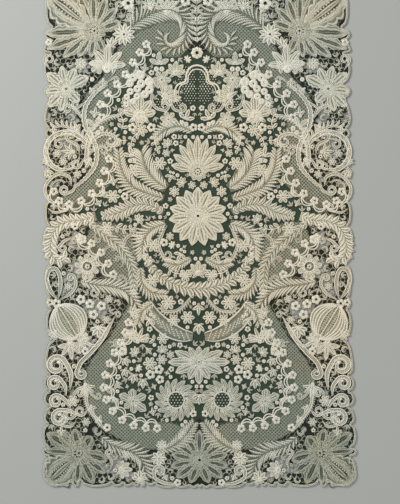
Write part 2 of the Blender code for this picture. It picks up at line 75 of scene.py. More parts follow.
# %% [markdown]
# ## One way to make almost every thread
# Cords, leaves, petals, rings and scrolls are all a small section that is carried along a route. A tube of
# faces is made once for each number of rows and columns: a cone with equal ends is cut by planes, and a ring
# is a circle that is spun. Each tube is then copied and bent into place, which is far quicker than making
# every leaf from nothing.

# %% Tubes of faces that know their rows and columns
def make_tube(around, rows, closed):
    """The mesh of a tube, or of a ring of it, and the row and column of each of its corners."""
    shape = bmesh.new()
    if closed:
        turned = Matrix.Translation((3, 0, 0)) @ Matrix.Rotation(math.pi / 2, 4, "X")
        bmesh.ops.create_circle(shape, segments=around, radius=1, matrix=turned)
        bmesh.ops.spin(shape, geom=shape.verts[:] + shape.edges[:], cent=(0, 0, 0), axis=(0, 0, 1),
                       angle=math.tau, steps=rows, use_merge=True)
    else:
        bmesh.ops.create_cone(shape, cap_ends=True, segments=around, radius1=1, radius2=1, depth=rows - 1)
        for row in range(1, rows - 1):
            bmesh.ops.bisect_plane(shape, geom=shape.verts[:] + shape.edges[:] + shape.faces[:],
                                   plane_co=(0, 0, row - (rows - 1) / 2), plane_no=(0, 0, 1))
    mesh = bpy.data.meshes.new("tube")
    shape.to_mesh(mesh)
    x, y, z = np.array([vert.co for vert in shape.verts]).T
    shape.free()
    if closed:
        row = np.arctan2(y, x) / math.tau * rows
        angle = np.arctan2(z, np.hypot(x, y) - 3)
    else:
        row = z + (rows - 1) / 2
        angle = np.arctan2(y, x)
    column = (angle - angle[0]) / math.tau * around
    return mesh, np.round(row).astype(int) % rows, np.round(column).astype(int) % around


# %% [markdown]
# A section is a short table: how far across, how high, and how light. Light is 1 on a raised cord and near 0
# at the bottom of a slit and on low edges and the underside: this is painted shade, so the material darkens what
# lies deep.

# %% Sections
UNDERSIDE = ((0.8, 0.0, 0.5), (-0.8, 0.0, 0.5))


def both_edges(*half):
    """A whole section from its half, edge first."""
    other = [(-across, up, light) for across, up, light in half[::-1] if across]
    return (*half, *other, *UNDERSIDE)


CORD = both_edges((-1, 0.3, 0.5), (-0.6, 0.9, 0.95), (0, 1.15, 1))
LEAF = both_edges((-1, 0.35, 0.26), (-0.6, 1, 1.08), (0, 0.4, 0.4))
BARB = both_edges((-1, 0.2, 0.16), (-0.55, 0.9, 0.98), (0, 1, 0.94))
# SHINGLE's steep outer edge is nearly black: painted shade where it drops to the leaf beneath.
SHINGLE = (  # one edge high, to lie over its neighbour
    (1, 0.15, 0.08), (0.76, 1.15, 1.08), (0.3, 0.95, 0.92), (-0.4, 0.6, 0.6), (-1, 0.3, 0.36), *UNDERSIDE[::-1],
)
BAND = both_edges((-1, 0.3, 0.4), (-0.9, 0.95, 1.08), (-0.62, 1, 1.1), (-0.46, 0.45, 0.46), (0, 0.5, 0.7))
NET_TONE = 0.45  # about the light of the section below
NET = both_edges((-1, 0.25, 0.5), (-0.9, 0.3, 0.45), (0, 0.3, 0.42))
LATTICE = both_edges((-1, 0.4, 0.6), (-0.88, 1, 1), (-0.74, 0.4, 0.35), (-0.25, 0.45, 0.5), (0, 0.5, 0.45))
PETAL = both_edges((-1, 0.45, 0.42), (-0.86, 1, 1.05), (-0.72, 0.6, 0.5), (-0.45, 0.8, 0.88), (-0.3, 0.7, 0.8),
                   (-0.2, 0.45, 0.22), (0, 0.55, 0.6))
VEINED = both_edges((-1, 0.35, 0.3), (-0.8, 1, 1.05), (-0.6, 0.6, 0.45), (-0.38, 0.8, 0.88), (-0.16, 0.75, 0.8),
                    (0, 0.4, 0.35))
# FLORET's inner lip round the eye is painted shade.
FLORET = ((-1, 0.1, -0.1), (-0.7, 1.1, 1.05), (0.1, 0.8, 0.9), (0.75, 1, 1.05), (1, 0.0, 0.4))
DOT = ((-1, 0.1, 0.6), (-0.5, 1, 1), (0.5, 1, 1), (1, 0.1, 0.6))
print("columns of a cord, a leaf and a petal:", len(CORD), len(LEAF), len(PETAL))


# %% Routes
def smooth(points, steps=4):
    """A smooth curve through the points, with this many straight stretches between neighbours."""
    knots = np.array(points, float)
    knots = np.vstack([2 * knots[0] - knots[1], knots, 2 * knots[-1] - knots[-2]])
    curve = []
    for before, start, end, after in zip(knots, knots[1:], knots[2:], knots[3:]):
        for t in np.arange(steps) / steps:
            bend = 2 * before - 5 * start + 4 * end - after
            twist = 3 * start - before - 3 * end + after
            curve.append(start + 0.5 * ((end - before) * t + bend * t**2 + twist * t**3))
    return np.array([*curve, knots[-2]])


def gone(route):
    """How far along the route each of its points is."""
    return np.cumsum(np.linalg.norm(np.diff(route, axis=0, prepend=route[:1]), axis=1))


def even(route, count, start=0.0, end=1.0):
    """This many evenly spaced points from one share of a route's length to another."""
    lengths = gone(route)
    wanted = np.linspace(start, end, count) * lengths[-1]
    return np.column_stack([np.interp(wanted, lengths, route[:, k]) for k in (0, 1)])


def turned_left(along):
    """The unit vector to the left of this one."""
    return np.array((-along[1], along[0])) / max(np.linalg.norm(along), 1e-6)


def left_of(route, closed=False):
    """Unit vectors to the left of a route."""
    along = np.roll(route, -1, axis=0) - np.roll(route, 1, axis=0) if closed else np.gradient(route, axis=0)
    return np.array([turned_left(step) for step in along])


def polar(turn, reach):
    """The step of this length in the direction of this turn, in degrees."""
    angle = math.radians(turn)
    return reach * np.array((math.cos(angle), math.sin(angle)))


def circle(centre, radius, count):
    return np.array([centre + polar(k * 360 / count, radius) for k in range(count)])


def spiral(centre, radius, turns, start, count, inner):
    """A curl that winds inwards. Positive turns go anticlockwise from the start angle in degrees."""
    share = np.linspace(0, 1, count)
    return np.array([centre + polar(start + 360 * turns * s, radius * (1 - s * (1 - inner))) for s in share])


def both_halves(half):
    """A route that crosses the axis at its middle, from its first half."""
    return (*half, *((-reach, y) for reach, y in half[-2::-1]))


def bowed(root, tip, count, bow):
    """A route from root to tip that bows to the left, and the share of the way at each of its points."""
    root, step = np.array(root, float), np.array(tip, float) - root
    share = np.linspace(0, 1, count)
    return root + np.outer(share, step) + np.outer(bow * np.sin(math.pi * share), turned_left(step)), share


# %% [markdown]
# ## Lace in the making
# A Lace object gathers sweeps and remembers the room that each has taken, so small florets can later be set
# where there is still room. Its corners are placed only once, when the piece is finished for a side.

# %% Pieces, and a lace piece in the making
pieces = []
taken = []  # x, y and radius of the room that sprigs fill
tubes = {}  # each kind of tube is made once


def link(name, data):
    """A new object in the scene."""
    made = bpy.data.objects.new(name, data)
    bpy.context.scene.collection.objects.link(made)
    return made


def new_piece(shape, name, surfaces, nodes):
    """An object of this shape, parented to the root body, with these finishes; the solid's nodes that it stands
    for are hidden.
    """
    bmesh.ops.recalc_face_normals(shape, faces=shape.faces[:])
    mesh = bpy.data.meshes.new(name)
    shape.to_mesh(mesh)
    for surface in surfaces:
        mesh.materials.append(surface)
    piece = link(name, mesh)
    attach(piece, "root")
    if nodes:
        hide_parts(*nodes)
    pieces.append(piece)
    return piece


class Lace:
    """A piece in the making, which is finished for each side, or on the axis, when its block of work ends.
    It stands for the solid's node of the same name, where there is one."""

    def __init__(self, name, sides=BOTH):
        self.name, self.sides = name, sides
        self.shape = bmesh.new()
        # each corner's light, with the painted shade of its section, goes in this layer
        self.tone_and_shade = self.shape.verts.layers.float.new("tone_and_shade")
        self.grain = self.shape.verts.layers.float.new("grain")
        self.corners = []  # x, y, height, light and grain of every corner

    def sweep(self, route, widths, section, closed=False, base=SPRIG_BASE, light=1.0, window=None, keep=True):
        """Carry a section along a route. The window (0 to 1 a row) says where the painted shade of its middle
        slit shows.
        """
        route = np.array(route, float)
        widths = np.broadcast_to(np.array(widths, float), len(route))
        across, up, tone_and_shade = np.array(section, float).T
        offsets = widths[:, None] * across
        spots = route[:, None] + left_of(route, closed)[:, None] * offsets[:, :, None]
        slimness = np.minimum(1, 0.45 + widths / 2.5)  # a thin thread lies lower
        heights = base + SPRIG_HEIGHT * up * slimness[:, None]
        if window is not None:
            plain = np.where(np.abs(across) < 0.9, np.maximum(tone_and_shade, 0.85), tone_and_shade)
            tone_and_shade = plain + (tone_and_shade - plain) * np.array(window)[:, None]
        shaded_tones = tone_and_shade * np.broadcast_to(light, len(route))[:, None]
        grains = gone(route)[:, None] - np.abs(offsets)
        kind = len(section), len(route), closed
        if kind not in tubes:
            tubes[kind] = make_tube(*kind)
        mesh, row, column = tubes[kind]
        self.shape.from_mesh(mesh)
        self.corners.append(np.dstack([spots, heights, shaded_tones, grains])[row, column])
        if keep:
            taken.extend((*spot, max(width, 1.5)) for spot, width in zip(route[::2], widths[::2]))

    def __enter__(self):
        return self

    def __exit__(self, *_):
        corners = np.vstack(self.corners)
        for side, ending in self.sides:
            spots = on_side(side, corners[:, :3])
            for vert, spot, tone_and_shade, grain in zip(self.shape.verts, spots, *corners[:, 3:].T):
                vert.co, vert[self.tone_and_shade], vert[self.grain] = spot, tone_and_shade, grain
            name = self.name + ending
            nodes = [name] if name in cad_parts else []
            new_piece(self.shape, "lace_" + name, [toile], nodes).data.shade_smooth()


# %% [markdown]
# ## Finishes
# All the thread here is matt cotton. What sets one part from another is how closely it is worked, so each
# finish is one base colour ramp read through the light value of the section, which holds painted shade where the
# thread lies deep, with weave and twist as bump.
# Maths on sockets is long-winded, so one small class lets it be written as plain sums.

# %% Shader maths as plain sums
def operation(kind, swapped=False):
    """A method that joins its values in one maths node."""
    def method(self, *others):
        values = (*others, self) if swapped else (self, *others)
        return self.finish.node("ShaderNodeMath", {"operation": kind}, *values)
    return method


class Socket:
    """A shader value that can be added, multiplied and so on."""

    def __init__(self, finish, link):
        self.finish, self.link = finish, link

    __add__ = __radd__ = operation("ADD")
    __mul__ = __rmul__ = operation("MULTIPLY")
    __sub__, __rsub__ = operation("SUBTRACT"), operation("SUBTRACT", swapped=True)
    __pow__ = operation("POWER")
    sine, size = operation("SINE"), operation("ABSOLUTE")


class Finish:
    """A node-based material in the making."""

    def __init__(self, name, roughness):
        self.material = bpy.data.materials.new(name)
        self.material.use_nodes = True
        self.tree = self.material.node_tree
        self.shader = self.tree.nodes["Principled BSDF"]
        for key, value in (("Roughness", roughness), ("Specular IOR Level", 0.25), ("Sheen Weight", 0.15)):
            self.shader.inputs[key].default_value = value

    def node(self, kind, settings, *values, out=0, **named):
        """Add a node: its settings first, then the values or links of its sockets."""
        made = self.tree.nodes.new(kind)
        for key, value in settings.items():
            setattr(made, key, value)
        for key, value in (*enumerate(values), *named.items()):
            if isinstance(value, Socket):
                self.tree.links.new(value.link, made.inputs[key])
            else:
                made.inputs[key].default_value = value
        return Socket(self, made.outputs[out])

    def ramp(self, stops, level):
        """A colour ramp, from rows of level, red, green and blue."""
        made = self.node("ShaderNodeValToRGB", {}, level)
        elements = made.link.node.color_ramp.elements
        while len(elements) < len(stops):
            elements.new(0.5)
        for element, (place, *colour) in zip(elements, stops):
            element.position = place
            element.color = (*linear(*colour), 1)
        return made

    def place(self):
        """The piece's own coordinates, whole and as three sockets in millimetres."""
        where = self.node("ShaderNodeTexCoord", {}, out=3)
        apart = self.node("ShaderNodeSeparateXYZ", {}, where).link.node
        return where, [Socket(self, output) * 1000.0 for output in apart.outputs]

    def close(self, colour, height, strength, distance):
        """Wire the colour and the bump to the shader."""
        ridge = self.node("ShaderNodeBump", {}, Height=height, Strength=strength, Distance=distance)
        self.tree.links.new(colour.link, self.shader.inputs["Base Color"])
        self.tree.links.new(ridge.link, self.shader.inputs["Normal"])
        return self.material


# %% Colours, measured from old cotton lace on dark ground
def linear(*colour):
    """A screen colour (0 to 255) as the linear light that Blender wants."""
    parts = [value / 255 for value in colour]
    return tuple(part / 12.92 if part <= 0.04045 else ((part + 0.055) / 1.055) ** 2.4 for part in parts)


# The dark low end of each ramp is where the painted shade of slits and low edges lands.
COOL = (  # light value and colour where the thread has stayed grey
    (0.0, 10, 15, 8), (0.25, 50, 59, 46), (0.48, 118, 127, 111),
    (0.68, 180, 183, 165), (0.86, 222, 220, 202), (1.0, 244, 241, 225),
)
WARM = (  # the same where it has yellowed
    (0.0, 16, 16, 9), (0.25, 62, 62, 45), (0.48, 136, 132, 107),
    (0.68, 200, 191, 162), (0.86, 234, 224, 198), (1.0, 248, 240, 219),
)


def thread_finish(name, rib_pitch):
    """Thread with painted shade where it lies deep, ribbed across each leaf, yellower in some places than
    others.
    """
    finish = Finish(name, 0.85)
    where, (x, y, _) = finish.place()
    light = finish.node("ShaderNodeAttribute", {"attribute_name": "tone_and_shade"}, out=2)
    grain = finish.node("ShaderNodeAttribute", {"attribute_name": "grain"}, out=2)
    patches = finish.node("ShaderNodeTexNoise", {}, Vector=where, Scale=5.0, Detail=2.0)
    specks = finish.node("ShaderNodeTexNoise", {}, Vector=where, Scale=420.0, Detail=2.0)
    ribs = (grain * (math.tau / rib_pitch)).sine()
    level = light + ribs * 0.16 + (specks - 0.5) * 0.42
    yellowing = patches + (0.27 - (y - 50).size() * MM) * 0.6
    share = finish.node("ShaderNodeMapRange", {}, yellowing, 0.4, 0.6, 0.0, 1.0)
    colour = finish.node("ShaderNodeMixRGB", {}, share, finish.ramp(COOL, level), finish.ramp(WARM, level))
    weave = ((x + y) * 5.7).sine() * 0.5 + ((x - y) * 5.7).sine() * 0.5
    return finish.close(colour, weave + ribs + specks * 0.8, 0.5, 0.0004)


def ground_finish(name, low, high):
    """Fine net: small threads crossing on a slant, light on dark."""
    finish = Finish(name, 0.9)
    where, (x, y, _) = finish.place()
    wave = math.pi / 1.3  # 1.3 mm from thread to thread
    threads = 1 - ((x + y) * wave).sine().size() * ((x - y) * wave).sine().size()
    patches = finish.node("ShaderNodeTexNoise", {}, Vector=where, Scale=9.0, Detail=3.0)
    level = threads ** 3.0 * 0.75 + (patches - 0.5) * 0.35 + 0.08
    return finish.close(finish.ramp(((0.0, *low), (1.0, *high)), level), threads, 0.4, 0.0003)


toile = thread_finish("cream toile", 3.6)
bar_thread = thread_finish("cream bar thread", 2.2)
net_thread = thread_finish("net thread", 2.2)
field_ground = ground_finish("fine dark ground", (30, 46, 34), (78, 95, 76))
band_ground = ground_finish("band ground", (66, 78, 66), (128, 137, 121))
border_ground = ground_finish("border ground", (16, 20, 13), (52, 58, 45))
print("finishes:", [material.name for material in (toile, bar_thread, net_thread, field_ground)])

# %% [markdown]
# ## The panels
# The edge is a run of round lobes, each drawn through a shoulder, a tip and a shoulder. The lines that part the
# panels are short lists of places with a smooth curve through them, the same as in the solid.

# %% Tables of the panels, in millimetres
SHOULDER = math.radians(40)
SIDE_START, END_START = (421, 290), (257, 485)  # along the edge and out from it
SIDE_LOBES = (  # tip y, tip reach, notch y, notch reach, from top to bottom
    (409, 307, 395, 291), (377, 308, 370, 293), (337, 307, 309, 288), (295, 307, 279, 288),
    (243, 307, 220, 298), (210, 305, 202, 300), (177, 306, 143, 301), (127, 308, 120, 297),
    (103, 307, 75, 299), (51, 307, 25, 299), (-3, 310, -51, 295), (-73, 307, -84, 301),
    (-97, 305, -117, 299), (-129, 305, -141, 297), (-171, 306, -201, 290), (-253, 309, -273, 299),
    (-289, 311, -305, 299), (-321, 311, -336, 298), (-358, 311, -371, 303), (-393, 314, -417, 303),
    (-425, 315, -436, 302),
)
END_LOBES = (  # tip reach, tip depth, notch reach, notch depth, from the corner to the axis
    (246, 497, 239, 483), (210, 497, 176, 488), (166, 496, 153, 488), (147, 496, 134, 490),
    (127, 496, 120, 487), (114, 497, 108, 488), (99, 494, 90, 489), (68, 499, 50, 495), (36, 499, 21, 494),
    (12, 499, 5, 494),
)
TOP_END_SHARE = 0.966  # the top end is a little narrower
TOP_CORNER_OUTSIDE = ((301, 480), (303, 462), (302, 443), (298, 429))
TOP_CORNER_END = ((287, 495), (273, 498), (258, 495))
BOTTOM_CORNER_OUTSIDE = ((310, -444), (313, -460), (313, -479))
BOTTOM_CORNER_END = ((297, -495), (280, -495), (266, -492))

# Lines that part the panels, from top to bottom.
TOP_CORNER, BOTTOM_CORNER, CURL_END = (127, 405), (210, -361), (20, 377)
UPPER_NET_END, SIDE_NET_START = (246, 49), (212, 33)
LOWER_NET_START, LOWER_NET_END = (141, -127), (30, -383)
FIELD_EDGE = (
    (0, 365), CURL_END, (25, 401), (33, 425), (53, 439), (77, 441), (101, 429), TOP_CORNER,
    (156, 381), (172, 353), (188, 325), (210, 303), (226, 279), (232, 247), (227, 215), (211, 183),
    (209, 155), (225, 125), (249, 101), (271, 83), (276, 63), UPPER_NET_END, SIDE_NET_START,
    (220, 9), (228, -15), (212, -39), (198, -63), (181, -87), (157, -105), LOWER_NET_START,
    (149, -147), (163, -171), (177, -195), (195, -217), (213, -241), (228, -271), (232, -303),
    (226, -333), BOTTOM_CORNER, (186, -385), (154, -403), (119, -417), (83, -421), (55, -405),
    LOWER_NET_END, (0, -359),
)
UPPER_CHAIN_LINE = (
    CURL_END, (38, 363), (64, 365), (86, 377), (102, 371), (116, 351), (132, 329), (148, 309),
    (166, 291), (180, 275), (182, 253), (179, 227), (169, 197), (163, 167), (165, 137), (179, 107),
    (197, 85), (220, 67), UPPER_NET_END,
)
SIDE_CHAIN_LINE = (
    SIDE_NET_START, (176, 31), (146, 17), (130, -7), (124, -39), (122, -73), (125, -107),
    (131, -121), LOWER_NET_START,
)
LOWER_CHAIN_LINE = (
    LOWER_NET_START, (129, -143), (131, -163), (137, -189), (149, -213), (161, -235), (172, -257),
    (180, -279), (182, -303), (176, -327), (164, -345), (146, -359), (122, -367), (98, -369),
    (74, -367), (50, -371), LOWER_NET_END,
)
TOP_SEAM = (TOP_CORNER, (205, 415), (295, 489))
BOTTOM_SEAM = (BOTTOM_CORNER, (241, -429), (306, -489))


# %% Outlines of the edge
def round_lobes(start, rows):
    """An edge of round lobes, as places along the edge and out from it."""
    notch, points = start, [start]
    for row in np.array(rows, float):
        tip, following = row[:2], row[2:]
        before, after = (
            (tip[0] + (corner[0] - tip[0]) * math.cos(SHOULDER),
             corner[1] + (tip[1] - corner[1]) * math.sin(SHOULDER))
            for corner in (notch, following)
        )
        points += [before, tip, after, following]
        notch = following
    return np.array(points)


def end_edge(sign, share):
    """The edge of the top (1) or bottom (-1) end, from the corner to the axis."""
    return np.vstack([round_lobes(END_START, END_LOBES) * (share, sign), [(0, sign * HALF_LENGTH)]])


def inside(points, outline):
    """Whether each point is in the outline, by counting the edges to its right."""
    x, y = np.array(points)[:, :, None].transpose(1, 0, 2)
    a, b = outline.T
    c, d = np.roll(outline, -1, axis=0).T
    spans = (b > y) != (d > y)
    crossing = a + (y - b) * (c - a) / np.where(d == b, 1, d - b)
    return (spans & (x < crossing)).sum(axis=1) % 2 == 1


def clearance(points, outline):
    """The least distance from any of the points to the outline's edges."""
    edge = np.roll(outline, -1, axis=0) - outline
    offset = np.array(points)[:, None] - outline
    share = (offset * edge).sum(axis=2) / np.maximum((edge * edge).sum(axis=1), 1e-9)
    return np.linalg.norm(offset - np.clip(share, 0, 1)[..., None] * edge, axis=2).min()


# %% Outlines of the panels of one half
def field_line(start, end):
    """The stretch of the field's outer edge from one named place to another."""
    return smooth(FIELD_EDGE, 3)[FIELD_EDGE.index(start) * 3:FIELD_EDGE.index(end) * 3 + 1]


FIELD_TOP, FIELD_BOTTOM = FIELD_EDGE[0], FIELD_EDGE[-1]
upper_line, side_line, lower_line = (
    smooth(line, 3) for line in (UPPER_CHAIN_LINE, SIDE_CHAIN_LINE, LOWER_CHAIN_LINE)
)
top_seam, bottom_seam = smooth(TOP_SEAM), smooth(BOTTOM_SEAM)
centre_outline = np.vstack([
    FIELD_TOP, upper_line, field_line(UPPER_NET_END, SIDE_NET_START)[1:-1], side_line, lower_line[1:],
    FIELD_BOTTOM,
])
band_outlines = {
    "net_upper": np.vstack([field_line(CURL_END, UPPER_NET_END), upper_line[-2:0:-1]]),
    "net_side": np.vstack([field_line(SIDE_NET_START, LOWER_NET_START), side_line[-2:0:-1]]),
    "net_lower": np.vstack([field_line(LOWER_NET_START, LOWER_NET_END), lower_line[-2:0:-1]]),
}
top_edge = np.vstack([end_edge(1, TOP_END_SHARE)[::-1], TOP_CORNER_END[::-1]])
side_edge = np.vstack([
    TOP_CORNER_OUTSIDE, round_lobes(SIDE_START, SIDE_LOBES)[:, ::-1], BOTTOM_CORNER_OUTSIDE,
])
bottom_edge = np.vstack([BOTTOM_CORNER_END, end_edge(-1, 1)])
border_outlines = {
    "border_top": np.vstack([top_edge, top_seam[::-1], field_line(FIELD_TOP, TOP_CORNER)[-2::-1]]),
    "border": np.vstack([
        side_edge, bottom_seam[::-1], field_line(TOP_CORNER, BOTTOM_CORNER)[-2:0:-1], top_seam,
    ]),
    "border_bottom": np.vstack([bottom_edge, field_line(BOTTOM_CORNER, FIELD_BOTTOM)[::-1], bottom_seam[1:]]),
}
print("panels of a half:", 1 + len(band_outlines) + len(border_outlines))

# %% [markdown]
# ## Bars
# The border's ground is made of short bars that meet three at a time, like a worn honeycomb. Each cell starts
# as a six-sided circle whose corners are nudged by an amount that depends only on where they are, so
# neighbours still meet. Merging the doubles joins the cells, an inset leaves a rim in each, and what is inside
# the rim is deleted. Where the solid has a gap cut through, the ground under the cell is cut away too.

# %% The cells between the bars
CELL_PITCH = 10.5  # from one gap between bars to the next
CELL_WOBBLE = 1.4
HALF_WIDTH = 330  # the cells are tried as far out as this
LEAST_REACH, LEAST_CLEARANCE = 0.8, 1.0  # of a cell from the axis, and from the border's edge


def wobbled(x, y):
    """A lattice corner moved by an amount that depends only on where it is."""
    first = math.sin(x * 12.9898 + y * 78.233) * 43758.5453
    second = math.sin(x * 39.3468 + y * 11.135) * 24634.6345
    return x + CELL_WOBBLE * (2 * (first % 1) - 1), y + CELL_WOBBLE * (2 * (second % 1) - 1)


def honeycomb():
    """The corners of every cell of one half, from the bottom up."""
    row_height = CELL_PITCH * math.sqrt(3) / 2
    rows = int(HALF_LENGTH / row_height)
    for row in range(-rows, rows + 1):
        for column in range(int(HALF_WIDTH / CELL_PITCH)):
            middle = np.array(((column + 0.5 * (row % 2)) * CELL_PITCH, row * row_height))
            corners = [middle + polar(30 + 60 * k, CELL_PITCH / math.sqrt(3)) for k in range(6)]
            yield np.array([wobbled(*corner) for corner in np.round(corners, 3)])


def fits(cell, outline):
    """Whether a cell is whole inside this outline and not on the axis."""
    near = inside(cell, outline).all() and clearance(cell, outline) > LEAST_CLEARANCE
    return near and cell[:, 0].min() > LEAST_REACH


cells = list(honeycomb())
middles = [cell.mean(axis=0) for cell in cells]
border_cells = {
    name: [cell for cell, near in zip(cells, inside(middles, outline)) if near and fits(cell, outline)]
    for name, outline in border_outlines.items()
}
print("cells between bars in one half:", {name: len(found) for name, found in border_cells.items()})


# %% Flat shapes from outlines
def add_loop(shape, points, filled=False):
    """A loop of edges, or a face: a circle whose corners are moved to the points."""
    made = bmesh.ops.create_circle(shape, cap_ends=filled, segments=len(points), radius=1)
    for vert, (x, y) in zip(made["verts"], points):
        vert.co = (x, y, 0)


def keep_rims(shape, bar, even_offset):
    """Leave only a rim of every face, as half of a bar of this width."""
    rims = set(bmesh.ops.inset_individual(
        shape, faces=shape.faces[:], thickness=bar / 2, use_even_offset=even_offset)["faces"])
    bmesh.ops.delete(shape, geom=[face for face in shape.faces if face not in rims], context="FACES")


def raise_faces(shape, top, bottom=0.0, light=0.8):
    """Give flat faces a thickness, and a light for their top. Their bottom gets painted shade, 0.45 of that
    light.
    """
    tone_and_shade = shape.verts.layers.float.new("tone_and_shade")
    for vert in shape.verts:
        vert.co.z, vert[tone_and_shade] = bottom, 0.45 * light
    raised = bmesh.ops.extrude_face_region(shape, geom=shape.faces[:], use_keep_orig=True)
    for item in raised["geom"]:
        if isinstance(item, bmesh.types.BMVert):
            item.co.z, item[tone_and_shade] = top, light


def add_to(whole, shape, side):
    """Add a flat shape of the half to a whole piece, on this side."""
    for vert, spot in zip(shape.verts, on_side(side, [vert.co for vert in shape.verts])):
        vert.co = spot
    mesh = bpy.data.meshes.new("part")
    shape.to_mesh(mesh)
    shape.free()
    whole.from_mesh(mesh)
    bpy.data.meshes.remove(mesh)


# %% [markdown]
# ## The ground
# The fine ground is one flat sheet under everything. It is filled from outlines, raised to its thickness and
# joined from both halves. Its middle is dark green net, the bands are greyer, and the border is the darkest.

# %% Which gaps the solid has cut through
OPEN_SHARE = 0.88  # of a cell's size is open between its bars


def cut_through(name, middle):
    """Whether a straight look down at this place of the right half goes through the plain solid."""
    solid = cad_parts[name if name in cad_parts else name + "_right"]
    (x, y, _), = on_side(1, [(*middle, 0)])
    return not solid.ray_cast((x, y, 0.1), (0, 0, -1))[0]


bpy.context.view_layer.update()
gaps = {}
for name, found in border_cells.items():
    gaps[name] = [cell.mean(axis=0) + OPEN_SHARE * (cell - cell.mean(axis=0)) for cell in found
                  if cut_through(name, cell.mean(axis=0))]
print("gaps cut through in one half:", {name: len(found) for name, found in gaps.items()})

# %% The ground as one sheet
panels = [(centre_outline, (), 0), *((outline, (), 1) for outline in band_outlines.values())]
panels += [(outline, gaps[name], 2) for name, outline in border_outlines.items()]
whole = bmesh.new()
for side, _ in BOTH:
    for outline, holes, surface in panels:
        panel = bmesh.new()
        for loop in (outline, *holes):
            add_loop(panel, loop)
        bmesh.ops.triangle_fill(panel, edges=panel.edges[:], use_beauty=False)
        raise_faces(panel, GROUND)
        for face in panel.faces:
            face.material_index = surface
        add_to(whole, panel, side)
ground_area = sum(face.calc_area() for face in whole.faces) / 2
grounds = (field_ground, band_ground, border_ground)
ground = new_piece(whole, "scarf_ground", grounds, ["centre_ground"])
print("ground area, square metres:", round(ground_area, 3))


# %% Bars of the border and diamond net of the bands
BAR_WIDTH, BAR_LIGHT = 1.6, 0.56
NET_WIDTH, NET_LIGHT = 1.7, 0.62
NET_PITCH = 5.0  # from thread to thread
MERGE = 0.01  # corners nearer than this are one


def bar_web(cells):
    """Bars that part these cells."""
    shape = bmesh.new()
    for cell in cells:
        add_loop(shape, cell, filled=True)
    bmesh.ops.remove_doubles(shape, verts=shape.verts[:], dist=MERGE)
    bmesh.ops.recalc_face_normals(shape, faces=shape.faces[:])
    keep_rims(shape, BAR_WIDTH, True)
    raise_faces(shape, WEB_TOP, WEB_BASE, BAR_LIGHT)
    return shape


def diamond_net(outline):
    """A grid of threads on a slant, kept where it lies inside the outline."""
    shape = bmesh.new()
    low, high = outline.min(axis=0), outline.max(axis=0)
    count = int(max(high - low) * 1.45 / NET_PITCH)  # the slanting grid has to cover both corners
    turned = Matrix.Translation((*(low + high) / 2, 0)) @ Matrix.Rotation(math.pi / 4, 4, "Z")
    half = count * NET_PITCH / 2
    bmesh.ops.create_grid(shape, x_segments=count, y_segments=count, size=half, matrix=turned)
    kept = inside([face.calc_center_median().xy for face in shape.faces], outline)
    bmesh.ops.delete(shape, geom=[face for face, keep in zip(shape.faces, kept) if not keep], context="FACES")
    keep_rims(shape, NET_WIDTH, False)
    raise_faces(shape, NET_TOP, WEB_BASE, NET_LIGHT)
    return shape


def flat_piece(kind, node, work, room, sides, surface):
    """A piece of bars or net, worked on each of its sides."""
    whole = bmesh.new()
    for side, _ in sides:
        add_to(whole, work(room), side)
    new_piece(whole, kind + node, [surface], [node])


for one in BOTH:
    for name, outline in band_outlines.items():
        flat_piece("mesh_", name + one[1], diamond_net, outline, [one], net_thread)
    flat_piece("bars_", "border" + one[1], bar_web, border_cells["border"], [one], bar_thread)
for name in ("border_top", "border_bottom"):
    flat_piece("bars_", name, bar_web, border_cells[name], BOTH, bar_thread)
print("pieces so far:", len(pieces))

# %% [markdown]
# ## Sprigs
# The larger sprigs follow the solid's tables. Each is worked in a few moves: a petal is a wide section whose
# middle is a slit of net, a leaf is a narrow one, and a floret is a ring whose width swells once for each petal.

# %% Petals, leaves, cords and dots
VEINED_WIDTH, SLIT_WIDTH = 5.4, 3.0  # half widths from which a petal is veined, or has at least a slit


def petal(lace, root, tip, half_width, lobes=0, bow=0.0, light=1.0, section=VEINED, start=0.16,
          base=SPRIG_BASE):
    """A petal from root to its pointed tip, with small lobes along its edge. A small one has no vein."""
    if half_width < VEINED_WIDTH:
        section = LEAF if half_width > SLIT_WIDTH else BARB
    route, share = bowed(root, tip, max(8, 4 * lobes + 1), bow)
    swell = start + (1 - start) * np.sin(math.pi * share**1.25) ** (0.65 + 0.5 * share)
    if lobes:
        swell *= 0.84 + 0.22 * np.abs(np.sin(lobes * math.pi * share))
    window = np.clip(1.6 * np.sin(math.pi * np.clip((share - 0.2) / 0.7, 0, 1)), 0, 1)
    lace.sweep(route, half_width * swell, section, window=window, light=light, base=base)


def leaf(lace, root, tip, half_width, bow=0.0, light=1.0, section=LEAF):
    """A small leaf with a vein."""
    route, share = bowed(root, tip, 6, bow)
    swell = 0.2 + 0.8 * np.sin(math.pi * share**1.2) ** (0.6 + 0.6 * share)
    lace.sweep(route, half_width * swell, section, light=light)


def round_ring(work, lace, root, count, turn, inner, outer, half_width, *looks, lean=0, **more):
    """Petals or leaves all round a root, from one radius to another. They may lean."""
    for angle in turn + np.arange(count) * 360 / count:
        work(lace, root + polar(angle, inner), root + polar(angle + lean, outer), half_width, *looks, **more)


def rays(work, lace, root, radius, turn, light, rows, **looks):
    """Leaves or petals from one root, to both sides: rows of swing in degrees, and length and half width
    as shares of the radius."""
    for swing, length, width in rows:
        for angle in sorted({turn - swing, turn + swing}):
            work(lace, root, root + polar(angle, length * radius), width * radius, light=light, **looks)


def cord(lace, route, width, light=1.0):
    """A raised cord with tapered ends."""
    share = np.linspace(0, 1, len(route))
    lace.sweep(route, width * np.clip(0.3 + 4 * np.minimum(share, 1 - share), 0, 1), CORD, light=light)


def bead(lace, centre, radius, light=1.0):
    """A round dot of close stitches."""
    share = np.linspace(-0.96, 0.96, 4)
    lace.sweep(centre + np.outer(radius * share, (1, 0)), radius * np.sqrt(1 - share**2), DOT, light=light)


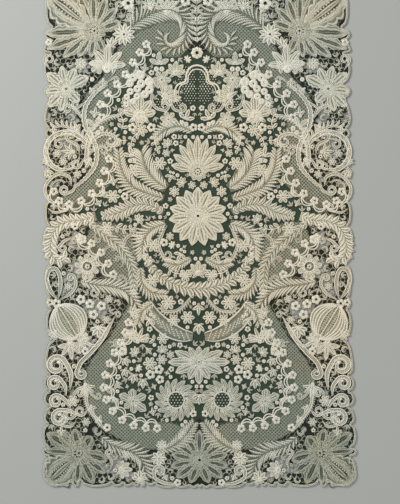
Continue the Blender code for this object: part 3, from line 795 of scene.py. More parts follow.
def dots(lace, centre, half_sizes, pitch, radius):
    """Dotted net: a slanting grid of dots in an oval."""
    steps = int(max(half_sizes) / pitch) + 1
    for i in range(-steps, steps + 1):
        for j in range(-steps, steps + 1):
            step = np.array((i + 0.5 * (j % 2), 0.87 * j)) * pitch
            if np.hypot(*(step / half_sizes)) < 1:
                bead(lace, centre + step, radius, 0.95)


def floret(lace, centre, radius, petals=5, light=1.0, turn=0.0):
    """A small flower round a dark eye: a ring that swells once for each petal."""
    turns = turn - np.arange(4 * petals) * math.tau / (4 * petals)
    swell = np.abs(np.cos(petals * (turns - turn) / 2))
    outer, inner = radius * (0.72 + 0.28 * swell), 0.2 * radius
    route = centre + ((outer + inner) / 2 * np.array((np.cos(turns), np.sin(turns)))).T
    # the notches between petals are darker: painted shade where the petals meet
    lights = light * (0.78 + 0.26 * swell)  # lightest in the middle of each petal
    lace.sweep(route, (outer - inner) / 2, FLORET, closed=True, light=lights, keep=False)
    taken.append((*centre, radius))


def berry(lace, centre, radius, turn=0.0, light=1.0):
    """A plain ring with a dark eye."""
    lace.sweep(circle(centre, 0.56 * radius, 10), 0.44 * radius, FLORET, closed=True, light=light)


# %% Scrolls, feathered sprays and blossoms
TOOTHED = 12  # a scroll whose eye is wider than this has teeth
FRESH = SPRIG_BASE + 0.25  # underside of what is laid over other petals


def leaning(spot, left, aside, ahead):
    """A place beside and ahead of a spot on a route."""
    return spot + aside * left - ahead * turned_left(left)


def scroll(lace, route, radius=0.0, turns=0.0, width=3.0, leaves=0.0, light=1.0):
    """A band that follows a route and may then wind into an eye, with comma leaves on its outer side."""
    path = smooth(route, 5)
    hand = -1 if turns > 0 else 1
    if radius:
        inwards = -hand * turned_left(path[-1] - path[-2])
        start = math.degrees(math.atan2(-inwards[1], -inwards[0]))
        count = int(14 * abs(turns)) + 4
        eye = spiral(path[-1] + radius * inwards, radius, 0.85 * turns, start, count, 0.42)
        path = np.vstack([path, eye[1:]])
        bead(lace, path[-1], 0.24 * radius, light)
        if radius > TOOTHED:
            teeth = even(path, 10, 0.3, 0.85)
            for spot, left in zip(teeth, left_of(teeth)):
                tip = leaning(spot, left, -0.5 * radius * hand, 0.3 * radius)
                leaf(lace, spot, tip, 0.12 * radius, light=light)
    share = np.linspace(0, 1, len(path))
    ending = 0.45 + 2.2 * (1 - share) if radius else 0.2 + 5 * (1 - share)
    lace.sweep(path, width * np.clip(0.2 + 5 * share, 0, 1) * np.clip(ending, 0, 1), BAND, light=light)
    if leaves:
        spots = even(path, max(3, int(gone(path)[-1] / (0.8 * leaves))), 0.08, 0.8)
        for spot, left in zip(spots, left_of(spots)):
            tip = leaning(spot, left, hand * leaves, 0.8 * leaves)
            leaf(lace, spot, tip, 0.24 * leaves, -hand * 0.18 * leaves, light)


def feather(lace, route, leaves, count, light=1.0, thin=0.38, stem=1.5, section=SHINGLE, rake=0.75, bed=0.0):
    """Leaves that overlap along both sides of a stem, over a bed of cloth. The rows of leaves are share
    of the way, left length and right length."""
    path = even(smooth(route, 8), 200)
    end = len(path) - 1
    middle = even(path, 24)
    width = thin * gone(path)[-1] / count
    shares, *lengths = np.array(leaves, float).T
    for sign, sizes in zip((1, -1), lengths):
        if bed:
            reach = 0.37 * np.interp(np.linspace(0, 1, len(middle)), shares, sizes)
            lace.sweep(middle + sign * reach[:, None] * left_of(middle), reach, NET, light=bed / NET_TONE)
        laid = np.array(section) * (sign, 1, 1)
        last = path[0]
        for share in (np.arange(count) + 0.35) / count:
            row = int(share * end)
            along = path[min(end, row + 3)] - path[max(0, row - 3)]
            along /= np.linalg.norm(along)
            size = np.interp(share, shares, sizes)
            tip = path[row] + sign * turned_left(along) * size + along * size * rake
            if np.linalg.norm(tip - last) >= 1.1 * width:  # a crowded leaf is left out
                leaf(lace, path[row], tip, width, -sign * 0.16 * size, light, laid)
                last = tip
    cord(lace, middle, stem, 0.56 * light)


def blossom(lace, centre, petals, lobes, light, eye, inner, section):
    """Petals round an eye, the widest laid first, and a ring of short petals over them."""
    for *tip, half_width in sorted(petals, key=lambda row: -row[2]):
        tip = np.array(tip, float)
        petal(lace, centre + 0.12 * (tip - centre), tip, 1.08 * half_width, lobes, 0, light, section)
    if inner:
        round_ring(petal, lace, centre, 9, 0, 0.3 * inner, inner, 0.3 * inner, light=light, base=FRESH)
    floret(lace, centre, eye, 6, light)


# %% [markdown]
# ## Blossoms and sprays
# The corner blossoms are cooler and greyer than the rest, because their petals are filled with net instead of
# close cloth stitch. So each sprig is given its own light.

# %% Blossoms
# A row holds the lobes of a petal, the light, the radius of the eye and of the inner petals, the section of a
# petal, the centre, and each petal's tip and half width.
BLOSSOMS = {
    "corner_blossom_top": (5, 0.84, 8, 24, PETAL, (205, 415), (
        (297, 486, 34), (302, 410, 15), (301, 379, 12), (268, 362, 12), (238, 363, 11), (212, 362, 10),
        (186, 371, 10), (152, 433, 12), (159, 461, 11), (180, 483, 11), (207, 490, 11), (238, 490, 12),
    )),
    "corner_blossom_bottom": (5, 0.73, 8, 26, PETAL, (241, -429), (
        (303, -488, 34), (308, -424, 9), (305, -389, 15), (281, -384, 13), (250, -380, 13), (215, -395, 15),
        (184, -443, 15), (188, -469, 12), (212, -490, 14), (245, -491, 10),
    )),
    "side_blossom": (5, 0.98, 9, 20, VEINED, (262, 299), (
        (303, 293, 12), (298, 263, 12), (274, 254, 11), (236, 273, 12), (217, 324, 13), (243, 341, 11),
        (271, 345, 10), (300, 331, 12),
    )),
    "field_blossom": (2, 0.92, 5, 0, VEINED, (132, -325), (
        (160, -312, 9), (134, -300, 9), (106, -313, 9), (106, -345, 9), (130, -350, 8), (150, -339, 7),
    )),
    "bottom_blossom": (3, 0.75, 10, 22, PETAL, (0, -443), (
        (0, -383, 11), (27, -393, 11), (45, -409, 11), (56, -431, 11), (57, -456, 11), (46, -478, 12),
        (19, -489, 11),
    )),
    "leaf_star": (3, 0.96, 6, 18, VEINED, (0, -247), (
        (0, -215, 7), (20, -217, 7), (48, -225, 9), (62, -247, 10), (47, -268, 10), (21, -281, 9),
        (0, -292, 9),
    )),
    "centre_rosette": (3, 1.0, 10, 27, VEINED, (0, 45), (
        (0, 103, 12), (24, 96, 12), (43, 83, 12), (56, 62, 12), (58, 38, 12), (51, 14, 12), (36, -4, 12),
        (13, -14, 12),
    )),
    "centre_palmette": (3, 0.98, 6, 20, VEINED, (0, 134), (
        (0, 206, 9), (19, 200, 9), (36, 187, 9), (48, 168, 9), (53, 147, 9),
    )),
}
for name, (lobes, light, eye, inner, section, centre, petals) in BLOSSOMS.items():
    centre = np.array(centre, float)
    with Lace(name, BOTH if centre[0] else AXIS) as lace:
        if not centre[0]:  # a blossom on the axis lists half of its petals
            petals = [*petals, *((-reach, y, width) for reach, y, width in petals if reach)]
        blossom(lace, centre, petals, lobes, light, eye, inner, section)
        if name.startswith("corner"):  # its petal towards the corner has three ribs and two rows of dots
            corner = petals[0][:2] - centre
            aside = turned_left(corner)
            for offset, length in ((-19, 0.76), (0, 0.92), (19, 0.76)):
                root = centre + 0.25 * corner + 0.5 * offset * aside
                leaf(lace, root, centre + length * corner + offset * aside, 6, 0.1 * offset, light)
            for offset in (-9, 9):
                for share in np.linspace(0.34, 0.82, 9):
                    bead(lace, centre + share * corner + offset * (0.5 + 0.6 * share) * aside, 2.0, light)

# %% Feathered sprays
SPRAYS = {  # route, rows of leaf lengths, leaves a side, light, thinness, stem, section, rake and bed
    "top_frond": ((
        (135, 418), (119, 433), (97, 447), (74, 456), (51, 457), (32, 446), (21, 427), (21, 406), (30, 389),
        (45, 381), (59, 384), (67, 396), (66, 408),
    ), ((0, 18, 18), (0.15, 32, 30), (0.4, 29, 28), (0.6, 22, 20), (0.75, 21, 14), (1, 12, 14)),
        30, 0.85, 0.44, 1.8, SHINGLE, 0.9, 0.42),
    "laurel": ((
        (204, 45), (228, 38), (252, 35), (274, 29), (288, 14), (295, -8), (294, -30), (281, -43), (264, -38),
    ), ((0, 12, 12), (0.3, 16, 15), (0.6, 16, 17), (1, 13, 13)),
        15, 1.14, 0.52, 1.8, LEAF, 0.9, 0.66),
    "mid_frond": ((
        (237, -85), (207, -92), (179, -95), (153, -102), (134, -117), (124, -133),
    ), ((0, 10, 8), (0.4, 20, 19), (0.7, 18, 18), (1, 9, 9)),
        16, 0.92, 0.46, 1.8, SHINGLE, 1.2, 0.4),
    "lower_frond": ((
        (196, -396), (182, -409), (161, -418), (139, -425), (121, -437), (110, -456), (106, -474),
    ), ((0, 9, 9), (0.3, 18, 19), (0.7, 18, 23), (1, 11, 11)),
        16, 0.86, 0.46, 1.8, SHINGLE, 1.1, 0.38),
    "garland": ((
        (68, 52), (96, 66), (126, 66), (158, 52), (190, 45),
    ), ((0, 8, 8), (0.4, 19, 19), (0.7, 17, 17), (1, 8, 8)),
        13, 1.0, 0.5, 1.8, LEAF, 0.9, 0.5),
    "festoon": (both_halves(
        ((-112, -14), (-98, -52), (-66, -82), (-30, -97), (0, -101)),
    ), ((0, 5, 5), (0.3, 12, 15), (0.5, 16, 20), (0.7, 12, 15), (1, 5, 5)),
        22, 1.0, 0.5, 1.4, LEAF, 0.9, 0.5),
}
for name, looks in SPRAYS.items():
    with Lace(name, AXIS if name == "festoon" else BOTH) as lace:
        feather(lace, *looks)

# %% [markdown]
# ## Chains, stems and rings
# Along the inner side of each net band runs a braid of florets. Two thin arcs swing from each floret to the
# next on the side of the middle field, and close the band.

# %% Chains of florets with double arcs
CHAINS = {
    "chain_upper": (
        (101, 388), (114, 372), (128, 352), (143, 328), (160, 308), (179, 290), (193, 268), (191, 242),
    ),
    "chain_mid": (
        (177, 159), (186, 135), (196, 111), (212, 90), (233, 75), (257, 68), (277, 75), (288, 94),
    ),
    "chain_lower": (
        (140, -168), (146, -188), (156, -208), (168, -228), (178, -250), (187, -273), (190, -298),
        (185, -322), (173, -345), (154, -363), (131, -374), (107, -379), (84, -380),
    ),
}


def work_chain(lace, centres, hand=1):
    """Florets along a line, and two arcs between each two of them, to the right (1) or left (-1)."""
    centres = np.array(centres, float)
    share = np.linspace(0, 1, 13)
    rise = np.sin(math.pi * share)
    for k, centre in enumerate(centres):
        floret(lace, centre, 9.5, turn=0.3 + k)
    for start, step in zip(centres, np.diff(centres, axis=0)):
        aside = -hand * turned_left(step)
        for reach in (18.5, 13.0):
            arc = start + np.outer(share * 1.12 - 0.06, step) + np.outer(reach * rise**0.45, aside)
            lace.sweep(arc, 1.5, CORD)
        half = rise[::2] ** 0.5
        bed = start + np.outer(share[::2], step) + np.outer(6 * half, aside)
        lace.sweep(bed, 1 + 5.5 * half, NET, light=0.85)


for name, centres in CHAINS.items():
    with Lace(name) as lace:
        work_chain(lace, centres)


# %% Stems
def stem(lace, route, half_width, section, ripple=None):
    """A wide band along a route. Its half width may ripple between two shares of itself."""
    path = even(smooth(route, 6), 120)
    share = np.linspace(0.02, 0.98, 120)
    widths = half_width * (0.25 + 0.75 * np.sqrt(np.sin(math.pi * share)))
    if ripple:
        widths *= ripple[0] + (ripple[1] - ripple[0]) * np.abs(np.sin(28 * math.pi * share))
    lace.sweep(path, widths, section, light=1.1)
    return path


with Lace("stem_upper") as lace:
    stem(lace, (
        (180, 308), (205, 290), (224, 262), (225, 229), (211, 201), (202, 177), (204, 149), (220, 125),
        (246, 102),
    ), 4.5, BAND, (0.8, 1.4))
with Lace("stem_lower") as lace:
    scroll(lace, ((168, -156), (182, -183), (198, -207), (218, -230), (236, -248), (244, -266)), 10, -1.1, 5.0)
with Lace("lattice_leaf") as lace:
    path = stem(lace, ((12, -196), (38, -192), (68, -176), (92, -152), (104, -126)), 17.0, LATTICE)
    for spot in even(path, 13)[1:-1]:
        for offset in (-8, -4, 0, 4, 8):
            bead(lace, spot + (0.4 * offset, offset), 1.6)
with Lace("arch", AXIS) as lace:
    arch = np.array(both_halves(
        ((-40, 268), (-45, 288), (-40, 306), (-24, 314), (-21, 330), (-13, 342), (0, 346)),
    ), float)
    cord(lace, smooth(arch, 6), 2.2)
    cord(lace, smooth(arch + ((0, 300) - arch) * 0.17, 6), 1.4)


# %% [markdown]
# Small motifs come in kinds that any lace maker knows. Each kind is one function of a place, a size and a turn.

# %% Kinds of motif
def daisy(lace, root, radius, turn, light=1.0):
    """Narrow petals round an eye."""
    count = 11 if radius > 17 else 8  # a large daisy has more petals
    round_ring(petal, lace, root, count, turn, 0.2 * radius, radius, 2.4 * radius / count, 1, light=light)
    floret(lace, root, 0.34 * radius, light=light)


def garland_ring(lace, root, radius, turn, light=1.0):
    """A ring of leaning petals round a cord and an eye."""
    round_ring(petal, lace, root, 9, turn, 0.38 * radius, radius, 0.26 * radius, 2, -0.06 * radius, light,
               lean=14, start=0.4)
    lace.sweep(circle(root, 0.42 * radius, 20), 1.5, CORD, closed=True, light=light)
    floret(lace, root, 0.22 * radius, light=light)


def fan(lace, root, radius, turn, light=1.0, leaves=5, opening=150, width=0.15):
    """Leaves that open like a fan. The turn is the direction of the middle leaf in degrees."""
    for swing in np.linspace(-0.5, 0.5, leaves) * opening:
        tip = root + polar(turn + swing, radius * (1 - 0.56 * abs(swing) / opening))
        if radius > 32:  # a large fan has petals
            petal(lace, root, tip, 1.1 * width * radius, 3, -0.06 * swing, light)
        else:
            leaf(lace, root, tip, width * radius, -0.04 * swing, light)
    berry(lace, root, 0.16 * radius, light=light)


def trio(lace, root, radius, turn, light=1.0):
    fan(lace, root, radius, turn, light, 3, 100, 0.2)


def lily(lace, root, radius, turn, light=1.0):
    """Three petals that open upwards, and a berry on each side."""
    rays(petal, lace, root, radius, turn, light, ((62, 0.85, 0.24), (0, 1, 0.24)), lobes=3)
    for swing in (-150, 150):
        berry(lace, root + polar(turn + swing, 0.42 * radius), 0.22 * radius)


def rose(lace, root, radius, turn, light=1.0):
    """An open rose: broad scalloped petals, a ring and an eye."""
    round_ring(petal, lace, root, 6, turn, 0.15 * radius, radius, 0.36 * radius, 2, light=light, start=0.3)
    lace.sweep(circle(root, 0.36 * radius, 16), 1.2, CORD, closed=True, light=0.8 * light)
    floret(lace, root, 0.3 * radius, light=light)


def bell(lace, root, radius, turn, light=1.0):
    """A bell flower: three pointed lobes and a calyx."""
    rays(leaf, lace, root, radius, turn, light, ((38, 0.9, 0.22), (0, 1, 0.26), (95, 0.5, 0.13)))


def flower(lace, root, radius, turn, light=1.0):
    floret(lace, root, radius, light=light, turn=math.radians(turn))


def comma(lace, root, radius, turn, light=1.0):
    """A thick hook, drawn as a short curl."""
    widths = 0.3 * radius * np.array((0.3, 0.7, 0.95, 1, 0.9, 0.75, 0.7, 0.6))
    lace.sweep(spiral(root, 0.85 * radius, 0.72, turn, 8, 0.4), widths, LEAF, light=light)
    taken.append((*root, radius))


def bud(lace, root, radius, turn, light=1.0):
    """Three small leaves from one root."""
    low = root - polar(turn, 0.8 * radius)
    rays(leaf, lace, low, radius, turn, light, ((43, 1.5, 0.27), (0, 1.9, 0.27)))
    taken.append((*root, radius))


def carnation(lace, root, radius, turn, light=1.0):
    """Scalloped petals above a cup, with two leaves below it."""
    scalloped = ((75, 0.8, 0.24), (38, 0.92, 0.24), (0, 1, 0.24))
    rays(petal, lace, root, radius, turn, light, scalloped, lobes=2, start=0.3)
    rays(leaf, lace, root, radius, turn, light, [(125, 0.6, 0.13)])
    floret(lace, root, 0.22 * radius, light=light)


def bunch(lace, root, radius, turn, light=1.0):
    """A bunch of berries that narrows to its tip, hung from two leaves."""
    for row, count in enumerate((2, 3, 3, 2, 2, 1)):
        size = radius * (0.165 - 0.013 * row)
        spot = root + polar(turn, radius * (0.12 + 0.2 * row))
        for k in range(count):
            berry(lace, spot + polar(turn + 90, (k - (count - 1) / 2) * 2.1 * size), size, light=light)
    rays(leaf, lace, root, radius, turn, light, [(70, 0.45, 0.12)])


def branch(lace, root, radius, turn, light=1.0):
    """A bowed stem with pairs of broad leaves and one at its tip."""
    route, _ = bowed(root, root + polar(turn, radius), 9, 0.14 * radius)
    cord(lace, route, 1.2, light)
    for k in (1, 4, 7):
        ahead = math.degrees(math.atan2(*(route[k + 1] - route[k - 1])[::-1]))
        rays(leaf, lace, route[k], radius, ahead, light, [(58, 0.42 - 0.02 * k, 0.13)])
    rays(leaf, lace, route[-1], radius, turn, light, [(0, 0.34, 0.13)])


# %% Rings
with Lace("medallion") as lace:  # a great scroll round a spray of leaves, with teeth on its inner side
    ring = smooth((
        (216, 176), (232, 200), (258, 213), (288, 204), (303, 180), (298, 154), (278, 138), (252, 139),
    ), 6)
    scroll(lace, ring[::6], width=5.4)
    teeth = even(ring, 10, 0.1, 0.95)
    for spot, left in zip(teeth, left_of(teeth)):
        leaf(lace, spot, leaning(spot, left, -13, 15), 3.6, 5)
    scroll(lace, ((236, 168), (240, 186), (258, 196)), 10, 1.1, 3.0, 7)
    scroll(lace, ((236, 168), (240, 154), (254, 150)), 6, -1.0, 2.4)
    fan(lace, np.array((248, 173)), 27, 4, opening=130)
with Lace("loop") as lace:  # a long loop with a small curl in it
    scroll(lace, (
        (282, -122), (295, -106), (303, -82), (298, -64), (285, -61), (277, -76), (276, -98), (281, -122),
    ), width=4.4)
    scroll(lace, ((296, -100), (290, -90)), 5, 1.1, 2.0)
with Lace("bulb") as lace:  # a ribbed seed head: cords that bow between two ends, over a lens of dotted net
    root, tip = np.array((281, -134)), np.array((240, -200))
    aside = turned_left(tip - root)
    share = np.linspace(0, 1, 18)
    line, swell = root + np.outer(share, tip - root), np.sin(math.pi * share) ** 0.62
    for bow in (-38, -32, -26, -20, -13, 0, 13, 20, 26, 32, 38):
        lace.sweep(line + np.outer(bow * swell, aside), 2.1 if abs(bow) > 13 else 1.5, CORD, light=0.94)
    lace.sweep(line, 37 * swell, NET, light=1.5)
    # The dots between the cords are dark: painted shade in the channels between the ribs.
    for spot in even(line, 15, 0.08, 0.92):
        for offset in (-9.5, -3.5, 3.5, 9.5):
            bead(lace, spot + offset * aside, 1.2, 0.2)
    for *spot, radius in ((284, -130, 10), (297, -128, 8), (241, -197, 7)):
        floret(lace, spot, radius)
with Lace("wreath") as lace:  # overlapping leaves round an open eye of net
    centre = np.array((46, -323))
    round_ring(petal, lace, centre, 15, 0, 16, 43, 6.6, 3, -3, 0.9, lean=20)
    for k in range(11):
        leaf(lace, centre + polar(33 * k, 15), centre + polar(33 * k + 26, 29), 3.6, -2, 0.95)
    lace.sweep(circle(centre, 16.5, 30), 2.0, CORD, closed=True, light=0.9)
    dots(lace, centre, (14, 14), 6.4, 1.3)
with Lace("roundel", AXIS) as lace:
    floret(lace, (0, 371), 13, 8)

# %% [markdown]
# The rest of the border's sprigs are too small for the solid, and are worked from two lists: motifs, and
# scrolls that link them. A scroll's row gives its route, the radius and turns of its eye, its half width and
# the length of the comma leaves along its back.

# %% Motifs and scrolls of the border
BORDER_MOTIFS = {  # kind: places, each with its reach, y, size and turn
    daisy: ((146, 408, 23, 0), (232, 349, 13, 0), (81, -440, 16, 0), (75, -414, 12, 0)),
    rose: ((198, 345, 17, 20), (252, -325, 12, 0)),
    fan: (
        (180, 338, 54, 93), (257, -206, 38, -95), (238, -204, 30, -160), (286, -186, 22, -60),
        (60, 452, 36, 95), (92, 460, 26, 75), (227, -292, 28, -100),
    ),
    trio: (
        (162, 344, 24, -20), (188, 318, 18, -90), (128, 452, 16, 60), (240, 216, 20, 70), (214, 158, 22, -60),
        (206, 244, 20, 100), (224, -192, 20, -60), (66, -482, 15, 60), (196, -366, 18, 40),
        (288, 210, 16, 90), (288, 70, 14, -90), (276, -392, 18, 90), (214, 300, 16, -130),
        (216, -334, 18, -110),
    ),
    flower: (
        (137, 470, 14, 0), (235, -122, 10.5, 0), (217, -131, 10.5, 20), (194, -135, 10.5, 0),
        (210, -152, 10.5, 40), (232, -2, 11, 0), (44, -488, 8, 0), (184, -378, 9, 0), (22, 474, 11, 0),
        (296, 392, 8, 0), (246, 24, 8, 0), (227, -225, 9, 0),
    ),
    lily: ((202, 222, 26, 40),),
    bell: ((302, 136, 18, -120), (300, 156, 14, -30), (172, 384, 20, 100), (150, -438, 16, 120)),
    carnation: ((200, -178, 22, -90), (158, -462, 24, 180), (120, -482, 20, 90)),
    garland_ring: ((222, -56, 25, 0),),
    berry: ((210, 318, 5, 0),),
}
SCROLLS = (
    (((258, -303), (256, -271), (268, -245)), 19, -1.25, 5.4),
    (((266, -315), (268, -295), (278, -281)), 14, -1.25, 4.4),
    (((256, -341), (266, -325), (278, -315)), 13, -1.2, 4.2),
    (((234, -357), (258, -345), (278, -343)), 16, -1.2, 4.4),
    (((246, -366), (258, -376), (272, -374)), 10, 1.1, 2.8), (((254, -321), (246, -305)), 9, 1.2, 2.8),
    (((238, -347), (254, -359)), 9, 1.1, 2.8), (((222, -341), (230, -351)), 10, 1.2, 2.8),
    (((222, -283), (218, -307), (206, -319)), 6, -1.1, 2.2),
    (((228, -282), (226, -310), (222, -336), (204, -362), (186, -388)), 0, 0, 3.0, 7),
    (((253, 105), (257, 123), (277, 129), (295, 119), (305, 103), (303, 85), (292, 71)), 0, 0, 3.4),
    (((243, 117), (249, 97), (263, 89)), 9, 1.3, 3.0),
    (((263, 111), (277, 117), (291, 109), (295, 93)), 0, 0, 1.8), (((263, 201), (279, 197)), 9, -1.1, 2.6),
    (((217, 190), (229, 203), (249, 217), (273, 225), (299, 215)), 0, 0, 2.4, 13),
    (((221, 143), (222, 165), (219, 190), (208, 222)), 0, 0, 4.6, 9),
    (((227, 161), (235, 145)), 9, 1.2, 3.0), (((230, 237), (242, 255), (254, 265)), 8, -1.2, 2.8, 7),
    (((221, 177), (209, 197), (189, 209), (171, 207)), 13, 1.1, 3.4, 10),
    (((221, 165), (207, 177), (191, 183)), 8, 1.1, 2.6, 7),
    (((208, 222), (195, 234), (174, 244), (154, 247)), 0, 0, 2.6, 9),
    (((279, -123), (257, -111), (245, -93), (248, -77)), 7, -1.1, 3.4),
    (((252, 1), (264, -3), (276, -13)), 8, -1.2, 3.2), (((228, -3), (240, 5), (250, 1)), 6, -1.2, 2.2),
    (((195, -95), (201, -111)), 8, 1.1, 2.4), (((219, -100), (227, -88)), 7, 1.2, 2.4),
    (((177, -155), (165, -147)), 6, 1.1, 2.0),
    (((229, -205), (213, -215), (195, -205), (186, -186), (170, -160)), 0, 0, 3.2),
    (((44, -489), (66, -490), (88, -480), (91, -466)), 11, 1.2, 3.8),
    (((31, -408), (38, -398)), 7, 1.2, 2.4), (((179, -463), (175, -447), (185, -432)), 7, 1.1, 2.6),
    (((100, -484), (112, -478)), 7, -1.1, 2.4), (((157, 453), (161, 465)), 7, 1.1, 2.4),
    (((150, 436), (136, 436)), 7, -1.1, 2.4), (((294, 337), (304, 353)), 10, 1.2, 2.6),
    (((214, 293), (202, 305)), 6, 1.1, 2.2), (((222, 275), (238, 262)), 8, 1.1, 2.6),
    (((184, 310), (166, 322)), 6, 1.1, 2.2), (((300, 60), (286, 52), (264, 56)), 7, -1.1, 2.6),
)
SIDE_NET_SCROLLS = (
    (((148, -30), (148, -8), (136, 6), (118, 4)), 6, 1.0, 3.0, 8),
    (((188, -31), (184, -20), (172, -14)), 6, 1.1, 2.4),
    (((156, -60), (150, -46), (158, -38)), 5, -1.0, 2.0, 5),
    (((150, -100), (144, -84), (152, -76)), 5, -1.0, 2.0, 5),
    (((196, 14), (206, 8), (204, -4)), 5, -1.0, 2.0),
)


def work_motifs(lace, motifs, light=1.0):
    for kind, places in motifs.items():
        for reach, y, size, turn in places:
            kind(lace, np.array((reach, y), float), size, turn, light)


with Lace("border_fine") as lace:
    work_motifs(lace, BORDER_MOTIFS, 1.06)
with Lace("curls") as lace:
    for row in SCROLLS:
        scroll(lace, *row, light=1.1)
    feather(lace, ((80, -424), (56, -416), (32, -398), (10, -368)), ((0, 8, 8), (0.5, 20, 18), (1, 8, 8)),
            15, 0.86, 0.56, rake=0.9, bed=0.45)
with Lace("side_net_work") as lace:
    work_chain(lace, ((237, 2), (213, -10), (194, -28), (180, -50), (170, -72)), -1)
    feather(lace, ((220, 33), (182, 4), (156, -18), (136, -49), (131, -79), (129, -111)),
            ((0, 7, 7), (0.25, 13, 13), (0.7, 10, 12), (1, 6, 6)), 17, 0.9, 0.5, 1.5, LEAF, 1.6, 0.55)
    for row in SIDE_NET_SCROLLS:
        scroll(lace, *row, light=0.94)
with Lace("axis_sprig", AXIS) as lace:
    feather(lace, ((0, 390), (0, 438), (0, 486)), ((0, 10, 10), (0.5, 15, 15), (1, 9, 9)),
            9, 0.95, 0.3, 1.4, LEAF)
    for y in (398, 418, 438, 458, 478):
        floret(lace, (0, y), 5.5)
print("pieces so far:", len(pieces))

# %% Braid along the outer edge
with Lace("edge_braid") as lace:
    route = even(smooth(np.vstack([top_edge, side_edge, bottom_edge]), 3), 620)
    lace.sweep(route - 2.4 * left_of(route), 2.3, LEAF, light=0.97, keep=False)

# %% [markdown]
# ## Sprays of the middle field
# The middle field is sown with ordinary garden motifs: lilies, roses, bunches of berries, bells and leaf fans.
# Each row of a table is one motif, its place and its size, and leafy scrolls tie them together.

# %% The field's sprays
FIELD_MOTIFS = {  # kind: places, each with its reach, y, size and turn
    lily: (
        (76, 348, 26, 90), (24, 238, 22, 110), (132, 164, 22, 80), (34, -30, 18, -60), (96, -160, 18, -60),
        (0, -312, 20, -90),
    ),
    trio: (
        (106, 334, 17, 100), (108, 294, 15, -75), (34, 282, 15, -20), (168, 108, 18, 80), (196, 66, 16, 60),
        (96, -38, 18, -90), (0, -132, 22, -90), (104, -220, 16, -130), (164, -286, 16, -110),
        (92, -352, 15, 80), (170, -318, 16, -110), (88, -300, 12, 60),
    ),
    rose: (
        (71, 317, 19, 0), (112, 216, 13, 10), (58, 238, 17, 10), (76, 150, 14, 0), (128, 136, 14, 0),
        (170, 84, 14, 0), (182, 20, 15, 0), (90, -14, 14, 0), (26, -74, 13, 0), (92, -84, 14, 0),
        (60, -128, 15, 0), (22, -158, 14, 0), (50, -164, 13, 0), (132, -196, 14, 0), (98, -250, 14, 0),
        (72, -200, 12, 0),
    ),
    carnation: (
        (43, 330, 25, 92), (66, 284, 30, 160), (116, 246, 42, 92), (0, -70, 26, 90), (134, -150, 18, 160),
    ),
    bunch: ((100, 326, 64, -54),),
    fan: ((128, 238, 26, 165), (102, 238, 24, 20), (122, -206, 30, 110)),
    flower: (
        (130, 222, 10, 30), (92, 222, 10, 0), (8, 222, 9, 0), (146, 84, 9, 0), (68, -8, 9, 0),
        (152, -226, 10, 0), (80, -262, 10.5, 30), (97, -272, 10.5, 0), (78, -282, 9.5, 0), (12, -350, 8, 0),
    ),
    branch: (
        (148, 250, 24, 90), (152, 216, 34, 85), (84, 208, 30, -100), (118, 212, 30, -60), (140, 196, 26, -20),
        (166, 26, 34, 190), (60, -60, 30, 200), (86, -206, 30, 10),
    ),
    bell: (
        (190, 84, 16, 100), (0, -172, 20, -90), (148, -240, 17, -110), (150, -262, 17, -115),
        (130, -272, 19, -80), (112, -282, 19, -90),
    ),
}
FIELD_SCROLLS = (
    (((88, 300), (92, 280), (84, 262), (68, 256)), 9, -1.1, 3.0),
    (((50, 300), (54, 276), (46, 258), (32, 254)), 8, -1.1, 3.0),
    (((62, 26), (72, 8), (78, -14), (70, -36)), 9, -1.1, 3.0, 9),
    (((12, -112), (40, -142), (66, -146)), 8, 1.1, 2.8, 9),
    (((126, -176), (144, -190), (156, -212)), 8, 1.1, 2.8, 9),
    (((150, -300), (164, -296), (174, -306)), 6, 1.1, 2.4),
)
PLUMES = (  # route, rows of leaf lengths, leaves a side, light
    (((62, 100), (84, 116), (104, 142), (112, 176)),
     ((0, 12, 12), (0.4, 28, 26), (0.8, 22, 22), (1, 12, 12)), 18, 0.98),
    (((68, 80), (100, 90), (132, 106), (152, 138), (158, 176)),
     ((0, 9, 9), (0.4, 20, 20), (1, 9, 9)), 22, 0.92),
    (((64, 30), (92, 18), (110, -6), (112, -40)), ((0, 10, 10), (0.4, 24, 18), (1, 10, 10)), 16, 0.98),
    (((116, -58), (112, -88), (92, -108), (64, -112)), ((0, 8, 8), (0.5, 17, 15), (1, 8, 8)), 15, 0.92),
    (((10, 214), (36, 224), (64, 218), (86, 198)), ((0, 8, 8), (0.5, 17, 17), (1, 8, 8)), 15, 0.95),
    (((90, -128), (112, -146), (122, -172)), ((0, 8, 8), (0.5, 16, 16), (1, 8, 8)), 11, 0.95),
    (((14, -40), (40, -52), (66, -48)), ((0, 7, 7), (0.5, 13, 13), (1, 7, 7)), 11, 0.95),
)
# Ovals of dotted net: the centre and the half sizes of each.
DOTTED = (((20, 318), (18, 26)), ((72, 268), (13, 14)), ((38, 266), (10, 12)), ((14, 290), (14, 20)))
with Lace("field_sprays") as lace:
    work_motifs(lace, FIELD_MOTIFS)
    for row in FIELD_SCROLLS:
        scroll(lace, *row)
    for row in PLUMES:
        feather(lace, *row, 0.56, 1.6, rake=1.0, bed=0.45)
    for centre, half_sizes in DOTTED:
        dots(lace, centre, half_sizes, 5.6, 1.2)
print("motifs of the field:", 2 * sum(map(len, (*FIELD_MOTIFS.values(), FIELD_SCROLLS, PLUMES))))

# %% [markdown]
# ## Filling in
# Old mixed lace is crowded: wherever there is room between two sprigs the maker has set another floret, bud or
# berry ring. The room that is left is found by trying a grid of places and measuring how far each is from all
# that is already there, the larger sprigs first.

# %% Hooks, buds and berries where there is room
TRIAL_PITCH, TRIAL_SHIFT = 3.2, 0.8  # between the places that are tried, and how far each is moved at most


def scatter(order):
    """A number from 0 to 1 that depends only on the order."""
    return (math.sin(order * 91.7 + 3.1) * 47453.5453) % 1


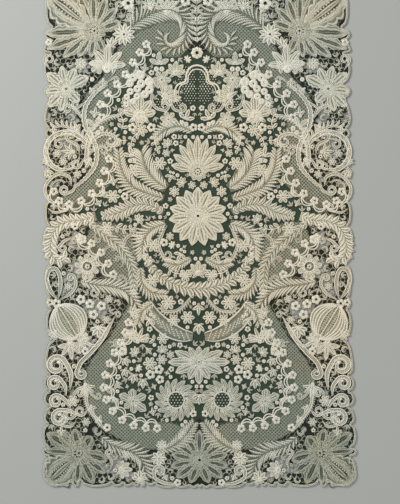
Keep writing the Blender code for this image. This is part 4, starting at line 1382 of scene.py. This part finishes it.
def fill_in(name, outlines, sizes, margin, light):
    """Set sprigs in what room is left. Each size has its radius, its spacing and its kinds of motif."""
    low, high = np.min(np.vstack(outlines), axis=0), np.max(np.vstack(outlines), axis=0)
    places = np.array([
        (x + TRIAL_SHIFT * scatter(x + y), y + TRIAL_SHIFT * scatter(x - y))
        for i, y in enumerate(np.arange(low[1], high[1], TRIAL_PITCH))
        for x in np.arange(max(0, low[0]) + TRIAL_PITCH / 2 * (i % 2), high[0], TRIAL_PITCH)
    ])
    places = places[np.any([inside(places, outline) for outline in outlines], axis=0)]
    edges = np.vstack([even(np.vstack([outline, outline[:1]]), 300) for outline in outlines])
    to_edge = [np.hypot(*(edges - place).T).min() for place in places]
    order = np.argsort([scatter(i) for i in range(len(places))])
    count = 0
    with Lace(name) as lace:
        for radius, spacing, kinds in sizes:
            room = np.array(taken)
            gap = np.array([(np.hypot(*(room[:, :2] - place).T) - room[:, 2]).min() for place in places])
            for i in order:
                if min(gap[i], places[i][0]) >= radius * spacing and to_edge[i] >= radius + margin:
                    kind = kinds[int(scatter(i + 7) * len(kinds))]
                    kind(lace, places[i], radius, scatter(i) * 720, light)
                    gap = np.minimum(gap, np.hypot(*(places - places[i]).T) - radius)
                    count += 1
    print(name, "sprigs:", count)


fill_in("field_fill", [centre_outline], (
    (15.0, 0.9, (branch, carnation, lily)), (11.0, 0.88, (rose, carnation, trio)),
    (8.5, 0.88, (bell, trio, rose)), (6.4, 0.92, (bud, flower, bud)), (4.4, 1.0, (berry, bud)),
), 0.0, 0.98)
fill_in("border_fill", list(border_outlines.values()), (
    (9.0, 0.95, (comma, rose, comma)), (7.0, 0.95, (comma, bud)), (5.0, 0.95, (comma, bud, flower)),
), 2.5, 1.0)

# %% [markdown]
# ## Stage, light and camera
# The scarf lies flat and is seen from straight above, as in the photograph. A low, wide light from one side
# lets each cord throw a short soft shadow, which is what makes lace readable on a pale table.

# %% Floor
FLOOR_DROP = -0.0004  # metres, just under the scarf
shape = bmesh.new()
lowered = Matrix.Translation((0, 0, FLOOR_DROP))
bmesh.ops.create_grid(shape, x_segments=1, y_segments=1, size=6, matrix=lowered)
floor = link("floor", bpy.data.meshes.new("floor"))
shape.to_mesh(floor.data)
paper = Finish("pale floor", 0.95)
paper.shader.inputs["Base Color"].default_value = (*linear(176, 178, 174), 1)
floor.data.materials.append(paper.material)

# %% Light
world = bpy.data.worlds.new("studio")
world.use_nodes = True
sky = world.node_tree.nodes["Background"].inputs
sky["Color"].default_value, sky["Strength"].default_value = (1, 1, 1, 1), 0.36
bpy.context.scene.world = world
for name, place, size, power in (("key", (-2.4, 1.9, 1.7), 0.9, 115), ("fill", (2.2, -1.6, 2.6), 2.0, 30)):
    lamp = link(name, bpy.data.lights.new(name, "AREA"))
    lamp.data.size, lamp.data.energy = size, power
    lamp.location = place
    lamp.rotation_euler = (-lamp.location).to_track_quat("-Z", "Y").to_euler()

# %% Camera
LENS, SENSOR = 100.0, 36.0
VIEW_HEIGHT, VIEW_MIDDLE = 1.008, (0.001, -0.027)  # metres of table in the picture
camera = link("camera", bpy.data.cameras.new("camera"))
camera.data.lens, camera.data.sensor_width = LENS, SENSOR
camera.location = (*VIEW_MIDDLE, LENS / SENSOR * VIEW_HEIGHT)
bpy.context.scene.camera = camera
bpy.context.scene.view_settings.view_transform = "Standard"

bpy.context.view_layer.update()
triangles = sum(len(polygon.vertices) - 2 for piece in pieces for polygon in piece.data.polygons)
print("pieces:", len(pieces), "triangles:", triangles)
